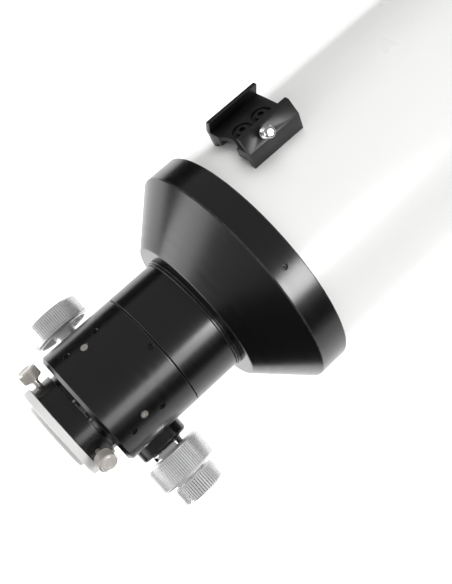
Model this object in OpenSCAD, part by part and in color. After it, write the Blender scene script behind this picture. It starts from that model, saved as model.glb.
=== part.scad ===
// Refractor optical tube with a rotating two-speed Crayford focuser.
// Axes: +X along the optical axis towards the sky, +Z up, +Y to the left as seen from behind.
// Origin: on the optical axis, midway along the main tube, where the cradle rings hold it.

/* [Tube] */
// Outer diameter of the main tube
tube_d = 162; // [160:1:164]
// Wall thickness of the main tube
tube_wall = 2; // [1.6:0.2:2.4]
// Visible length of the main tube
tube_l = 540; // [500:10:600]
// Outer diameter of the dew shield
shield_d = 190; // [186:1:196]
// Length of the dew shield
shield_l = 190; // [170:10:220]

/* [Tail piece] */
// Outer diameter of the tail ring
ring_d = 171; // [169:1:174]
// Length of the tail ring
ring_l = 20.7; // [18:0.1:24]
// Length of the cone behind the ring
cone_l = 32.4; // [30:0.2:36]
// Diameter of the flat rear face of the cone
cone_end_d = 108.4; // [104:0.2:112]

/* [Focuser] */
// Outer diameter of the focuser
body_d = 86; // [85:0.5:88]
// Length of the fixed front collar
collar_l = 33.8; // [33:0.2:36]
// Length of the turning rear body
body_l = 56.9; // [56:0.1:60]
// Outer diameter of the drawtube
draw_d = 60; // [60:0.1:60.4]
// Length of the drawtube
draw_l = 120; // [116:1:130]
// Diameter of the eyepiece bore
socket_d = 50.9; // [50.84:0.02:51]
// Outer diameter of the eyepiece adapter
adapter_d = 64; // [63:0.5:66]
// Angle of each bearing bar from the top
bar_angle = 43.4; // [42:0.2:45]

/* [Drive] */
// Diameter of the coarse focus knobs
coarse_d = 43.5; // [38:0.5:46]
// Diameter of the fine focus knob
fine_d = 32; // [28:0.5:34]
// Diameter of the roller shaft
shaft_d = 6.35; // [6.3:0.05:6.4]
// Depth of the shaft axis below the optical axis
shaft_drop = 33; // [33:0.05:33.2]
// Outer diameter of the gear reducer's flange
flange_d = 36.5; // [35:0.5:38]

/* [Finder shoe] */
// Angle of the finder shoe from the top, towards the left
shoe_angle = 41; // [35:1:50]
// Length of the finder shoe
shoe_l = 40; // [40:1:46]
// Distance of the finder shoe from the tail ring
shoe_gap = 19.7; // [18:0.1:30]

/* [Hidden] */
$fn = 96;

eps = 0.5;                            // how far a cutter runs past a face
fit = 0.05;                           // running clearance on a radius
black = "#1b1b1d";
silver = "#d9d9dc";
nickel = "#c9c2b4";
steel = "#b9bcc0";
brass = "#c9a24a";
white = "#f4f4f2";

tube_r = tube_d / 2;
tube_in = tube_r - tube_wall;
rear_x = -tube_l / 2;                 // rear end of the visible tube
front_x = tube_l / 2;                 // front end of the tube
ring_x = rear_x - ring_l;             // rear edge of the tail ring
cone_x = ring_x - cone_l;             // flat rear face of the cone
socket_depth = 14;                    // how far the tube sits in the tail ring
nut_l = 3.6;                          // thickness of the lock ring
collar_x0 = cone_x - nut_l;           // front of the collar
collar_x1 = collar_x0 - collar_l;     // parting line
parting = 0.8;                        // width of the parting groove
body_x0 = collar_x1 - parting;        // front of the turning body
body_x1 = body_x0 - body_l;           // rear of the turning body
body_r = body_d / 2;
body_chamfer = 2.2;
spigot_r = 38;                        // rotation spigot behind the collar
spigot_l = 13;
core_r = 33;                          // main bore of the focuser body
neck_r = 36;                          // bore of the collar
thread_r = 40;                        // nose of the collar in the cone
shaft_x = body_x1 + 24.3;             // roller shaft axis
bar_reach = 11.4;                     // bearing distance in front of and behind the shaft

draw_r = draw_d / 2;
draw_in = 27.4;
draw_gap = 2.8;                       // drawtube seen between the body and the adapter
adapter_x0 = body_x1 - draw_gap;      // front of the adapter
adapter_l = 14;
adapter_x1 = adapter_x0 - adapter_l;  // rear of the adapter
adapter_r = adapter_d / 2;
adapter_nose_l = 33;
socket_r = socket_d / 2;
clamp_x = adapter_x1 + 6;             // plane of the three thumbscrews
clamp_w = 7;
clamp_groove_r = socket_r + 2.1;
ring_sink = 0.5;                      // compression ring below the bore's surface
screw_tilt = 10;                      // turn of the thumbscrew set towards the left
strip_w = 8;
strip_t = 1;
shaft_r = shaft_d / 2;
strip_z = -shaft_drop + shaft_r + 0.015;
flat_z = strip_z + strip_t;           // flat under the drawtube

block_x = 20;                         // pressure block, along and across the tube
block_y = 22;
block_top = -31;
block_bottom = -45;
housing_x = 44;                       // drive housing under the body
housing_y = 29;                       // half width
housing_top = -20;
housing_z = -50;
plate_t = 2.5;
lock_x = shaft_x - 16;

flange_r = flange_d / 2;
flange_y0 = -29;
flange_y1 = -51.8;
collar_r = 12;
collar_y1 = -52.6;
hub_r = 12.9;
sleeve_r = 6;
coarse_r = coarse_d / 2;
coarse_y0 = -56.4;
coarse_y1 = -76.2;
hub_screw_y = coarse_y0 + 1.8;
fine_r = fine_d / 2;
fine_y0 = -78.6;
fine_y1 = -91.8;
left_y0 = 51.2;
left_y1 = 66.5;
left_r = coarse_r;
left_wall = 3.4;                      // wall round the cup of the left knob
left_hub_r = 8.2;
bush_y = 29;
bush_flange_r = 9.5;
flange_screw_l = 25;
flange_screw_sink = 1.6;              // depth of the seats for its heads
fine_shaft_r = 2.5;
carrier_y = -41;
ball_r = 2.4;
ball_orbit = 6.6;

shoe_x0 = rear_x + shoe_gap;
shoe_floor = tube_r + 9;
shoe_top = tube_r + 18.5;
shoe_under = tube_r + 6;
shoe_seats = [12.3, 27.8];            // screw seats along the shoe
seat_r = 7;
seat_depth = 1.6;
shoe_screw_tilt = 28;                 // lean of the finder screw from the shoe's floor
shoe_screw_at = 14.2;

cell_x = front_x + 12;                // rear face of the lens cell
cell_r = 88;
lens_r = 77;
lens_x = front_x + 24;                // rear of the lens bore
shield_r = shield_d / 2;
shield_wall = 2;
shield_x0 = front_x - 8;
shield_x1 = shield_x0 + shield_l;
cap_wall = 2.5;

// Solid of revolution about X; points are [radius, x].
module turned(points) {
  rotate([0, 90, 0])
    rotate_extrude($fn = 180)
      polygon(points);
}

// Cylinder along X from x0 to x1.
module rod_x(r, x0, x1, fn = 128) {
  translate([min(x0, x1), 0, 0])
    rotate([0, 90, 0])
      cylinder(r = r, h = abs(x1 - x0), $fn = fn);
}

// Cylinder along Y at the shaft axis from y0 to y1.
module rod_y(r, y0, y1) {
  translate([shaft_x, max(y0, y1), -shaft_drop])
    rotate([90, 0, 0])
      cylinder(r = r, h = abs(y1 - y0));
}

// Disc along Y at the shaft axis with both rims chamfered.
module knob_disc(r, y0, y1, chamfer) {
  lo = min(y0, y1);
  hi = max(y0, y1);
  translate([shaft_x, 0, -shaft_drop])
    rotate([-90, 0, 0])
      rotate_extrude($fn = 128)
        polygon([[0, lo], [r - chamfer, lo], [r, lo + chamfer], [r, hi - chamfer],
          [r - chamfer, hi], [0, hi]]);
}

// Pipe along X.
module pipe_x(r_out, r_in, x0, x1) {
  difference() {
    rod_x(r_out, x0, x1);
    rod_x(r_in, min(x0, x1) - eps, max(x0, x1) + eps);
  }
}

// Places children at an angle from the top: local Z points outwards, local Y along the surface.
module around(angle) {
  rotate([-angle, 0, 0])
    children();
}

// Block with round upright edges, centred in X and Y, from z0 to z1.
module round_block(lx, ly, z0, z1, r) {
  translate([-lx / 2 + r, -ly / 2, z0])
    cube([lx - 2 * r, ly, z1 - z0]);
  translate([-lx / 2, -ly / 2 + r, z0])
    cube([lx, ly - 2 * r, z1 - z0]);
  for (sx = [-1, 1], sy = [-1, 1])
    translate([sx * (lx / 2 - r), sy * (ly / 2 - r), z0])
      cylinder(r = r, h = z1 - z0);
}

socket_share = 0.9;                   // hex socket, as a share of the shank

// Socket-head screw pointing inwards: shank below z = 0 and a head above it.
module cap_screw(shank_r, shank_l, head_r, head_h) {
  difference() {
    union() {
      translate([0, 0, -shank_l])
        cylinder(r = shank_r, h = shank_l + eps / 10, $fn = 32);
      cylinder(r = head_r, h = head_h, $fn = 48);
    }
    translate([0, 0, head_h * 0.4])
      cylinder(r = shank_r * socket_share, h = head_h, $fn = 6);
  }
}

// Headless socket screw from z = 0 down.
module grub_screw(r, l) {
  difference() {
    translate([0, 0, -l])
      cylinder(r = r, h = l, $fn = 32);
    translate([0, 0, -l * 0.45])
      cylinder(r = r * 0.52, h = l, $fn = 6);
  }
}

// Thumbscrew with its tip at z = tip, a slim neck and a cylindrical head from z = base.
module thumb_screw(shank_r, tip, base, neck_r, head_r, head_h, bevel = 0.5) {
  translate([0, 0, tip])
    cylinder(r = shank_r, h = base - tip, $fn = 48);
  translate([0, 0, base - 1.6])
    cylinder(r = neck_r, h = 1.7, $fn = 48);
  translate([0, 0, base])
    rotate_extrude($fn = 64)
      polygon([[0, 0], [head_r - 0.5, 0], [head_r, 0.5], [head_r, head_h - bevel],
        [head_r - bevel, head_h], [0, head_h]]);
}

// ---- Tube ----

tail_screw_x = rear_x - 11.1;
tail_screw_count = 3;
tail_screw_phase = -13.3;             // first screw, from the top towards the left
cell_ring_screw_count = 3;

module tail_screw_spots() {
  for (i = [0 : tail_screw_count - 1])
    around(tail_screw_phase + i * 360 / tail_screw_count)
      translate([tail_screw_x, 0, 0])
        children();
}

module front_screw_spots() {
  for (i = [0 : cell_ring_screw_count - 1])
    around(30 + i * 360 / cell_ring_screw_count)
      translate([front_x - 18, 0, 0])
        children();
}

module shoe_frame() {
  around(shoe_angle)
    translate([shoe_x0, 0, 0])
      children();
}

module main_tube() {
  color(white)
    difference() {
      pipe_x(tube_r, tube_in, rear_x - socket_depth, front_x);
      tail_screw_spots()
        cylinder(r = 1.65, h = 100, $fn = 32);
      front_screw_spots()
        cylinder(r = 2.05, h = 100, $fn = 32);
      shoe_frame()
        for (x = shoe_seats)
          translate([x, 0, 0])
            cylinder(r = 2.55, h = 100, $fn = 32);
    }
}

baffle_x = [-120, 20, 160];           // places of the baffle rings
baffle_hole = [46, 56, 66];           // their clear radii

module tube_baffles() {
  color(black)
    for (i = [0 : len(baffle_x) - 1])
      turned([[baffle_hole[i], baffle_x[i]], [baffle_hole[i] + 1.5, baffle_x[i] - 1.2],
        [tube_in - 2, baffle_x[i] - 1.2], [tube_in - 2, baffle_x[i] - 8],
        [tube_in, baffle_x[i] - 8], [tube_in, baffle_x[i]]]);
}

// ---- Tail piece ----

module tail_cone() {
  color(black)
    difference() {
      turned([[tube_r, rear_x], [ring_d / 2 - 0.6, rear_x], [ring_d / 2, rear_x - 0.6],
        [ring_d / 2, ring_x + 0.4], [ring_d / 2 - 0.5, ring_x],
        [cone_end_d / 2, cone_x + 0.4], [cone_end_d / 2 - 0.5, cone_x],
        [thread_r, cone_x], [thread_r, cone_x + 12], [thread_r + 2, cone_x + 14],
        [tube_in - 4, ring_x], [tube_in - 4, rear_x - socket_depth],
        [tube_r, rear_x - socket_depth]]);
      tail_screw_spots()
        cylinder(r = 1.65, h = 100, $fn = 32);
    }
}

module tail_cone_screws() {
  color(black)
    tail_screw_spots()
      translate([0, 0, ring_d / 2 - 1.2])
        grub_screw(1.6, 6);
}

// ---- Focuser, fixed part ----

module lock_ring() {
  color(black)
    turned([[thread_r, collar_x0], [body_r + 0.6, collar_x0], [body_r + 1, collar_x0 + 0.4],
      [body_r + 1, collar_x0 + 1.3], [body_r + 0.4, collar_x0 + 1.6],
      [body_r + 0.4, collar_x0 + 2], [body_r + 1, collar_x0 + 2.3],
      [body_r + 1, cone_x], [thread_r, cone_x]]);
}

module focuser_collar() {
  groove_x = rotation_screw_x;
  color(black)
    turned([[neck_r, cone_x + 11], [thread_r, cone_x + 11], [thread_r, collar_x0],
      [body_r - 0.4, collar_x0], [body_r, collar_x0 - 0.4],
      [body_r, collar_x1 + 0.3], [body_r - 0.3, collar_x1], [spigot_r, collar_x1],
      [spigot_r, groove_x + 1.4], [spigot_r - 1.2, groove_x + 0.4],
      [spigot_r - 1.2, groove_x - 0.4], [spigot_r, groove_x - 1.4],
      [spigot_r, collar_x1 - spigot_l], [neck_r - 1, collar_x1 - spigot_l],
      [neck_r - 1, collar_x1], [neck_r, collar_x1 + 1]]);
}

// ---- Focuser, turning part ----

rotation_screw_x = collar_x1 - 4.3;
rotation_screw_sink = 2;              // its depth below the surface
bar_half = 17;                        // half length of a bearing bar
bar_half_w = 7;
bar_in = 31.2;
bar_out = 40.3;
bearing_r = 4;
bearing_pin_r = 1.95;
bearing_z = draw_r + 0.02 + bearing_r;
bearing_half_w = 1.5;
set_screw_y = 1.8;                    // set screws and bar screw across the bar
bar_screw_y = 3.2;
bar_seat_z = body_r - 2;
set_screw_sink = 1;                   // set screw below the surface

module focuser_body() {
  color(black)
    difference() {
      union() {
        turned([[0, body_x0], [body_r - 0.3, body_x0], [body_r, body_x0 - 0.3],
          [body_r, body_x1 + body_chamfer], [body_r - body_chamfer, body_x1], [0, body_x1]]);
        translate([shaft_x, 0, 0])
          round_block(housing_x, 2 * housing_y, housing_z, housing_top, 4);
      }
      rod_x(spigot_r + fit, body_x0 - spigot_l - 0.2, body_x0 + eps);
      rod_x(core_r, body_x1 + 4.2, body_x0);
      rod_x(draw_r + 0.5, body_x1 - eps, body_x0);
      for (side = [-1, 1])
        around(side * bar_angle) {
          translate([shaft_x - bar_half - 0.3, -bar_half_w - 0.3, 20])
            cube([2 * bar_half + 0.6, 2 * bar_half_w + 0.6, bar_out + 0.2 - 20]);
          for (s = [-1, 1])
            translate([shaft_x + s * bar_reach, side * set_screw_y, 0])
              cylinder(r = 2, h = 60, $fn = 32);
          translate([shaft_x, -side * bar_screw_y, 0]) {
            cylinder(r = 1.6, h = 60, $fn = 32);
            translate([0, 0, bar_seat_z])
              cylinder(r = 3.1, h = 20, $fn = 48);
          }
        }
      translate([rotation_screw_x, 0, spigot_r - 2])
        cylinder(r = 1.6, h = 20, $fn = 32);
      translate([shaft_x, 0, 0])
        translate([-block_x / 2 - 0.3, -block_y / 2 - 0.3, housing_z - eps])
          cube([block_x + 0.6, block_y + 0.6, -housing_z - 25]);
      rod_y(3.7, -60, 60);
      rod_y(flange_r + 0.1, flange_y0, -80);
      rod_y(bush_flange_r + 0.2, bush_y, 60);
      flange_screw_spots()
        translate([0, 0, -flange_screw_l - 0.2])
          cylinder(r = 1.5, h = 30, $fn = 32);
      rod_y(6, bush_y - 9, 60);
      translate([lock_x, 0, housing_z - eps])
        cylinder(r = 2.05, h = 30, $fn = 32);
      plate_screw_spots()
        cylinder(r = 1.3, h = 9, $fn = 32);
    }
}

module rotation_set_screw() {
  color(black)
    translate([rotation_screw_x, 0, body_r - rotation_screw_sink])
      grub_screw(1.55, body_r - rotation_screw_sink - spigot_r - 0.3);
}

module bearing_bar(side) {
  color(steel)
    around(side * bar_angle)
      difference() {
        translate([shaft_x - bar_half, -bar_half_w, bar_in])
          cube([2 * bar_half, 2 * bar_half_w, bar_out - bar_in]);
        for (s = [-1, 1])
          translate([shaft_x + s * bar_reach, 0, 0]) {
            translate([-bearing_r - 0.5, -bearing_half_w - 0.4, bar_in - eps])
              cube([2 * bearing_r + 1, 2 * bearing_half_w + 0.8,
                bearing_z + bearing_r + 0.4 - bar_in + eps]);
            translate([0, 0, bearing_z])
              rotate([90, 0, 0])
                cylinder(r = bearing_pin_r, h = 20, center = true, $fn = 48);
          }
        translate([shaft_x, -side * bar_screw_y, 0])
          cylinder(r = 1.5, h = 60, $fn = 32);
      }
}

module bearing_bar_left() {
  bearing_bar(1);
}

module bearing_bar_right() {
  bearing_bar(-1);
}

module bearing_pins() {
  color(steel)
    for (side = [-1, 1], s = [-1, 1])
      around(side * bar_angle)
        translate([shaft_x + s * bar_reach, 0, bearing_z])
          rotate([90, 0, 0])
            cylinder(r = bearing_pin_r, h = 2 * bar_half_w - 1, center = true, $fn = 48);
}

// Ball bearing on its pin: outer ring with shallow shields and the bore.
module bearing(side, s) {
  color(silver)
    around(side * bar_angle)
      translate([shaft_x + s * bar_reach, 0, bearing_z])
        rotate([90, 0, 0])
          rotate_extrude($fn = 96)
            polygon([[bearing_pin_r + fit, -bearing_half_w], [2.6, -bearing_half_w],
              [2.7, -bearing_half_w + 0.2], [3.2, -bearing_half_w + 0.2],
              [3.3, -bearing_half_w], [bearing_r - 0.2, -bearing_half_w],
              [bearing_r, -bearing_half_w + 0.2], [bearing_r, bearing_half_w - 0.2],
              [bearing_r - 0.2, bearing_half_w], [3.3, bearing_half_w],
              [3.2, bearing_half_w - 0.2], [2.7, bearing_half_w - 0.2],
              [2.6, bearing_half_w], [bearing_pin_r + fit, bearing_half_w]]);
}

module bearing_left_front() {
  bearing(1, 1);
}

module bearing_left_rear() {
  bearing(1, -1);
}

module bearing_right_front() {
  bearing(-1, 1);
}

module bearing_right_rear() {
  bearing(-1, -1);
}

module bar_screws() {
  color(silver)
    for (side = [-1, 1])
      around(side * bar_angle)
        translate([shaft_x, -side * bar_screw_y, bar_seat_z])
          cap_screw(1.5, 7, 2.5, 2.2);
}

module bar_set_screws() {
  color(black)
    for (side = [-1, 1], s = [-1, 1])
      around(side * bar_angle)
        translate([shaft_x + s * bar_reach, side * set_screw_y, body_r - set_screw_sink])
          grub_screw(1.95, body_r - set_screw_sink - bar_out - fit);
}

module shaft_block() {
  color(brass)
    difference() {
      translate([shaft_x - block_x / 2, -block_y / 2, block_bottom])
        cube([block_x, block_y, block_top - block_bottom]);
      rod_y(shaft_r + fit, -20, 20);
    }
}

module shaft_bush() {
  color(black)
    difference() {
      union() {
        rod_y(6, bush_y - 9, bush_y);
        knob_disc(bush_flange_r, bush_y, bush_y + 3, 0.8);
      }
      rod_y(shaft_r + fit, 0, 60);
    }
}

plate_screw_x = 18;
plate_screw_y = 20;

module plate_screw_spots() {
  for (sx = [-1, 1], sy = [-1, 1])
    translate([shaft_x + sx * plate_screw_x, sy * plate_screw_y, housing_z - eps])
      children();
}

module base_plate() {
  color(black)
    difference() {
      translate([shaft_x, 0, 0])
        round_block(housing_x, 2 * housing_y - 6, housing_z - plate_t, housing_z, 3);
      plate_screw_spots()
        translate([0, 0, -10])
          cylinder(r = 1.6, h = 30, $fn = 32);
      for (x = [shaft_x, lock_x])
        translate([x, 0, housing_z - 10])
          cylinder(r = 2.05, h = 30, $fn = 32);
    }
}

module base_plate_screws() {
  color(steel)
    for (sx = [-1, 1], sy = [-1, 1])
      translate([shaft_x + sx * plate_screw_x, sy * plate_screw_y, housing_z - plate_t])
        rotate([180, 0, 0])
          cap_screw(1.25, 9, 2.5, 1.8);
}

// Thumbscrew pointing up into the housing at x, with its tip at height tip.
module under_screw(x, tip) {
  color(nickel)
    translate([x, 0, housing_z - plate_t])
      rotate([180, 0, 0])
        thumb_screw(2, housing_z - plate_t - tip, 2.2, 3.2, 5.5, 7);
}

module tension_screw() {
  under_screw(shaft_x, block_bottom - 0.1);
}

module lock_screw() {
  under_screw(lock_x, strip_z - 0.2);
}

// ---- Drawtube ----

module drawtube() {
  color(black)
    difference() {
      turned([[draw_in, adapter_x0], [draw_r, adapter_x0], [draw_r, adapter_x0 + draw_l - 0.6],
        [draw_r - 0.6, adapter_x0 + draw_l], [draw_in, adapter_x0 + draw_l]]);
      translate([adapter_x0 + 4, -draw_r, -2 * draw_r])
        cube([draw_l, draw_d, 2 * draw_r + flat_z]);
    }
}

module drive_strip() {
  color(steel)
    translate([adapter_x0 + 4.2, -strip_w / 2, strip_z])
      cube([draw_l - 8, strip_w, strip_t]);
}

module drawtube_baffle() {
  x = adapter_x0 + draw_l;
  color(black)
    turned([[22, x - 3], [23.2, x - 4], [draw_in - 1.5, x - 4], [draw_in - 1.5, x - 9],
      [draw_in, x - 9], [draw_in, x - 3]]);
}

module adapter_spots() {
  for (a = [60, -60, 180])
    around(a + screw_tilt)
      translate([clamp_x, 0, 0])
        children();
}

module eyepiece_adapter() {
  color(black)
    difference() {
      turned([[socket_r, adapter_x0 + adapter_nose_l], [draw_in, adapter_x0 + adapter_nose_l],
        [draw_in, adapter_x0], [adapter_r - 0.4, adapter_x0],
        [adapter_r, adapter_x0 - 0.4], [adapter_r, adapter_x1 + 0.5],
        [adapter_r - 0.5, adapter_x1], [socket_r + 0.5, adapter_x1],
        [socket_r, adapter_x1 + 0.5], [socket_r, clamp_x - clamp_w / 2],
        [clamp_groove_r, clamp_x - clamp_w / 2], [clamp_groove_r, clamp_x + clamp_w / 2],
        [socket_r, clamp_x + clamp_w / 2]]);
      adapter_spots()
        cylinder(r = 2.05, h = 60, $fn = 48);
    }
}

module compression_ring() {
  color(brass)
    difference() {
      pipe_x(clamp_groove_r - 0.1, socket_r + ring_sink, clamp_x - clamp_w / 2 + 0.2,
        clamp_x + clamp_w / 2 - 0.2);
      around(120 + screw_tilt)
        translate([clamp_x - 10, -1, 0])
          cube([20, 2, 60]);
    }
}

module adapter_screw(angle) {
  color(nickel)
    around(angle + screw_tilt)
      translate([clamp_x, 0, 0])
        thumb_screw(2, clamp_groove_r + 0.05, 38, 2.9, 6.5, 7.6, 0.9);
}

module adapter_screw_left() {
  adapter_screw(60);
}

module adapter_screw_right() {
  adapter_screw(-60);
}

module adapter_screw_under() {
  adapter_screw(180);
}

module rear_dust_cap() {
  rim_r = adapter_r + 1.7;
  boss_r = 24;
  color(white)
    turned([[0, adapter_x1 - 8.2], [boss_r - 1, adapter_x1 - 8.2], [boss_r, adapter_x1 - 7.2],
      [boss_r, adapter_x1 - 5.3], [rim_r - 1, adapter_x1 - 5.3], [rim_r, adapter_x1 - 4.3],
      [rim_r, adapter_x1], [socket_r - 0.25, adapter_x1], [socket_r - 0.25, adapter_x1 + 7],
      [socket_r - 2.2, adapter_x1 + 7], [socket_r - 2.2, adapter_x1 - 3], [0, adapter_x1 - 3]]);
}

// ---- Drive ----

module roller_shaft() {
  color(steel)
    rod_y(shaft_r, carrier_y + 1.6, left_y1 - 5);
}

module coarse_knob_left() {
  color(silver)
    difference() {
      union() {
        difference() {
          knob_disc(left_r, left_y0, left_y1, 1.4);
          rod_y(left_r - left_wall, left_y0 - eps, left_y0 + 10);
        }
        rod_y(left_hub_r, bush_y + 5, left_y1 - 2);
      }
      rod_y(shaft_r, 0, left_y1 - 5);
      knob_screw_hole(bush_y + 10);
    }
}

// Cross hole for a set screw on top of a hub at y.
module knob_screw_hole(y) {
  translate([shaft_x, y, -shaft_drop])
    cylinder(r = 1.5, h = 30, $fn = 32);
}

module drive_hub() {
  color(silver)
    difference() {
      union() {
        rod_y(sleeve_r, flange_y1 + 3.1, collar_y1 - 0.2);
        rod_y(hub_r, collar_y1 - 0.2, coarse_y0);
        rod_y(8, coarse_y0, coarse_y1 + 2);
      }
      rod_y(fine_shaft_r + fit, 0, -90);
      translate([shaft_x, hub_screw_y, -shaft_drop])
        rotate([180, 0, 0])
          cylinder(r = 1.25, h = 30, $fn = 32);
    }
}

module coarse_knob_right() {
  color(silver)
    difference() {
      knob_disc(coarse_r, coarse_y1, coarse_y0, 1.4);
      rod_y(8, coarse_y1 + 2, coarse_y0 + eps);
      rod_y(fine_shaft_r + fit, 0, -90);
    }
}

module knob_set_screws() {
  color(steel) {
    translate([shaft_x, bush_y + 10, -shaft_drop + left_hub_r - 0.2])
      grub_screw(1.45, left_hub_r - 0.2 - shaft_r);
    translate([shaft_x, hub_screw_y, -shaft_drop - hub_r + 0.3])
      rotate([180, 0, 0])
        grub_screw(1.2, hub_r - 0.3 - fine_shaft_r - 0.5);
  }
}

module ball_spots() {
  for (i = [0 : 3])
    translate([shaft_x, carrier_y, -shaft_drop])
      rotate([0, i * 90 + 45, 0])
        translate([ball_orbit, 0, 0])
          children();
}

module ball_carrier() {
  color(brass)
    difference() {
      rod_y(8.4, carrier_y - 1.6, carrier_y + 4.6);
      rod_y(4.35, carrier_y - 2.6, carrier_y + 1.6);
      rod_y(shaft_r, carrier_y, carrier_y + 6);
      ball_spots()
        sphere(r = ball_r + 0.1, $fn = 48);
      ball_spots()
        rotate([90, 0, 0])
          cylinder(r = ball_r + 0.1, h = 3, $fn = 48);
    }
}

module planet_balls() {
  color(steel)
    ball_spots()
      sphere(r = ball_r, $fn = 48);
}

// Cup that turns with the knob hub; the balls roll inside its wall.
module ball_race() {
  color(steel)
    difference() {
      rod_y(11.2, flange_y1 + 3.1, carrier_y + 3);
      rod_y(ball_orbit + ball_r + fit, carrier_y - 4, carrier_y + 5);
      rod_y(fine_shaft_r + fit, 0, -90);
    }
}

module reducer_flange() {
  color(black)
    difference() {
      union() {
        knob_disc(flange_r, flange_y1, flange_y0, 1.2);
        rod_y(collar_r, collar_y1, flange_y1 + 1);
      }
      rod_y(11.5, flange_y1 + 3, flange_y0 - 3);
      rod_y(shaft_r + fit, flange_y0 - 5, 0);
      rod_y(sleeve_r + fit, flange_y1 + 5, -70);
      flange_screw_spots() {
        cylinder(r = 1.6, h = 60, center = true, $fn = 32);
        cylinder(r = 2.5, h = 4, $fn = 48);
      }
    }
}

module flange_screw_spots() {
  for (a = [45 : 90 : 315])
    translate([shaft_x, flange_y1 + flange_screw_sink, -shaft_drop])
      rotate([90, 0, 0])
        rotate([0, 0, a])
          translate([14.4, 0, 0])
            children();
}

module flange_screws() {
  color(steel)
    flange_screw_spots()
      cap_screw(1.5, flange_screw_l, 2.4, 1.4);
}

module fine_shaft() {
  color(steel) {
    rod_y(fine_shaft_r, carrier_y - 1, fine_y1 + 3);
    rod_y(ball_orbit - ball_r - fit, carrier_y - 2.4, carrier_y + 1.2);
  }
}

module fine_knob() {
  color(silver)
    difference() {
      union() {
        knob_disc(fine_r, fine_y1, fine_y0, 1.2);
        rod_y(fine_r - 3, coarse_y1 - 0.5, fine_y0 - 1);
      }
      rod_y(fine_shaft_r, 0, fine_y1 + 3);
    }
}

// ---- Finder shoe ----

heel = 20.9;                          // outer edge of a heel
knee = 22.4;
lip = 17.1;
mouth = 13.7;
undercut = 18.8;
arch_left = 10;
arch_right = 7.5;
shelf = tube_r + 7.3;
notch_r = 17.2;
notch_depth = 3.2;

// Section of the shoe: across the tube, then out from its axis.
module shoe_section() {
  polygon([[-mouth, shoe_top], [-lip, shoe_top], [-knee, shoe_floor + 0.4],
    [-heel, tube_r - 4], [-17, tube_r - 4], [-16.6, tube_r + 0.6], [-arch_left, tube_r + 2],
    [-arch_left, shoe_under], [arch_right, shoe_under], [arch_right, tube_r + 1.4],
    [16.9, tube_r + 1.4], [17.7, tube_r - 4], [heel, tube_r - 4],
    [knee, shoe_floor + 0.4], [lip, shoe_top], [mouth, shoe_top],
    [undercut, shoe_floor], [-undercut, shoe_floor]]);
}

// Places children on the outer facet of the right rail, local Z along the finder screw.
module shoe_screw_frame() {
  shoe_frame()
    translate([shoe_screw_at, -19.9, (shoe_floor + shoe_top) / 2 + 0.1])
      rotate([90 - shoe_screw_tilt, 0, 0])
        children();
}

module finder_shoe() {
  color(black)
    difference() {
      shoe_frame()
        rotate([90, 0, 90])
          linear_extrude(height = shoe_l)
            mirror([1, 0, 0])
              shoe_section();
      rod_x(tube_r, -tube_l, tube_l);
      shoe_frame()
        for (x = shoe_seats)
          translate([x, 0, 0]) {
            cylinder(r = 2.55, h = 200, $fn = 32);
            translate([0, 0, shoe_floor - seat_depth])
              cylinder(r = seat_r, h = 20, $fn = 64);
          }
      shoe_frame()
        intersection() {
          translate([notch_depth - notch_r, 0, 0])
            cylinder(r = notch_r, h = 200, $fn = 96);
          union() {
            translate([-1, -arch_right, shoe_under - eps])
              cube([notch_r, arch_right + arch_left, 6]);
            translate([-1, -16.5, shelf])
              cube([notch_r, 16.5, 4]);
          }
        }
      shoe_screw_frame()
        translate([0, 0, -7])
          cylinder(r = 2.05, h = 30, $fn = 32);
    }
}

module finder_shoe_screws() {
  color(black)
    shoe_frame()
      for (x = shoe_seats)
        translate([x, 0, shoe_floor - seat_depth])
          cap_screw(2.5, 12, 4.2, 2.4);
}

module finder_thumbscrew() {
  color(silver)
    shoe_screw_frame()
      thumb_screw(2, -6.5, 3.2, 2.6, 3.7, 8.6);
}

// ---- Objective ----

cell_screw_spots_r = 84;

module cell_ring() {
  color(black)
    difference() {
      turned([[tube_in - 3, front_x - 26], [tube_in, front_x - 26], [tube_in, front_x],
        [cell_r - 0.4, front_x], [cell_r, front_x + 0.4], [cell_r, front_x + 8],
        [tube_in - 3, front_x + 8]]);
      front_screw_spots()
        cylinder(r = 1.65, h = 100, $fn = 32);
      cell_screw_spots()
        cylinder(r = 1.6, h = 60, center = true, $fn = 32);
    }
}

module cell_ring_screws() {
  color(steel)
    front_screw_spots()
      translate([0, 0, tube_r])
        cap_screw(1.6, 5, 3, 1.6);
}

// Three pairs of collimation screws, set behind the cell ring.
module cell_screw_spots() {
  for (i = [0 : 2], s = [-5, 5])
    around(90 + i * 120 + s)
      translate([front_x, 0, cell_screw_spots_r])
        rotate([0, -90, 0])
          children();
}

module cell_screws() {
  color(steel)
    cell_screw_spots()
      cap_screw(1.55, 18, 2.6, 2.2);
}

module lens_cell() {
  color(black)
    difference() {
      turned([[lens_r - 4, cell_x], [cell_r - 0.4, cell_x], [cell_r, cell_x + 0.4],
        [cell_r, cell_x + 12], [lens_r + 6, cell_x + 14], [lens_r + 6, lens_x + 34],
        [lens_r + 0.2, lens_x + 34], [lens_r + 0.2, lens_x], [lens_r - 4, lens_x]]);
      cell_screw_spots()
        cylinder(r = 1.6, h = 80, center = true, $fn = 32);
    }
}

// Lenses along X, each a profile whose spherical faces are arcs of arc_steps chords.
crown_front = 560;
crown_rear = 400;
flint_front = 410;
crown_edge = lens_x + 17.5;           // rear edge of the crown's rim
crown_rim = 6;
flint_rim = 14;
arc_steps = 12;
spacer_relief = 0.12;                 // room for the crown's curved rear face

// Height of a spherical face of radius r above its rim, at distance y from the axis.
function bulge(r, y) = sqrt(r * r - y * y) - sqrt(r * r - lens_r * lens_r);

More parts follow.
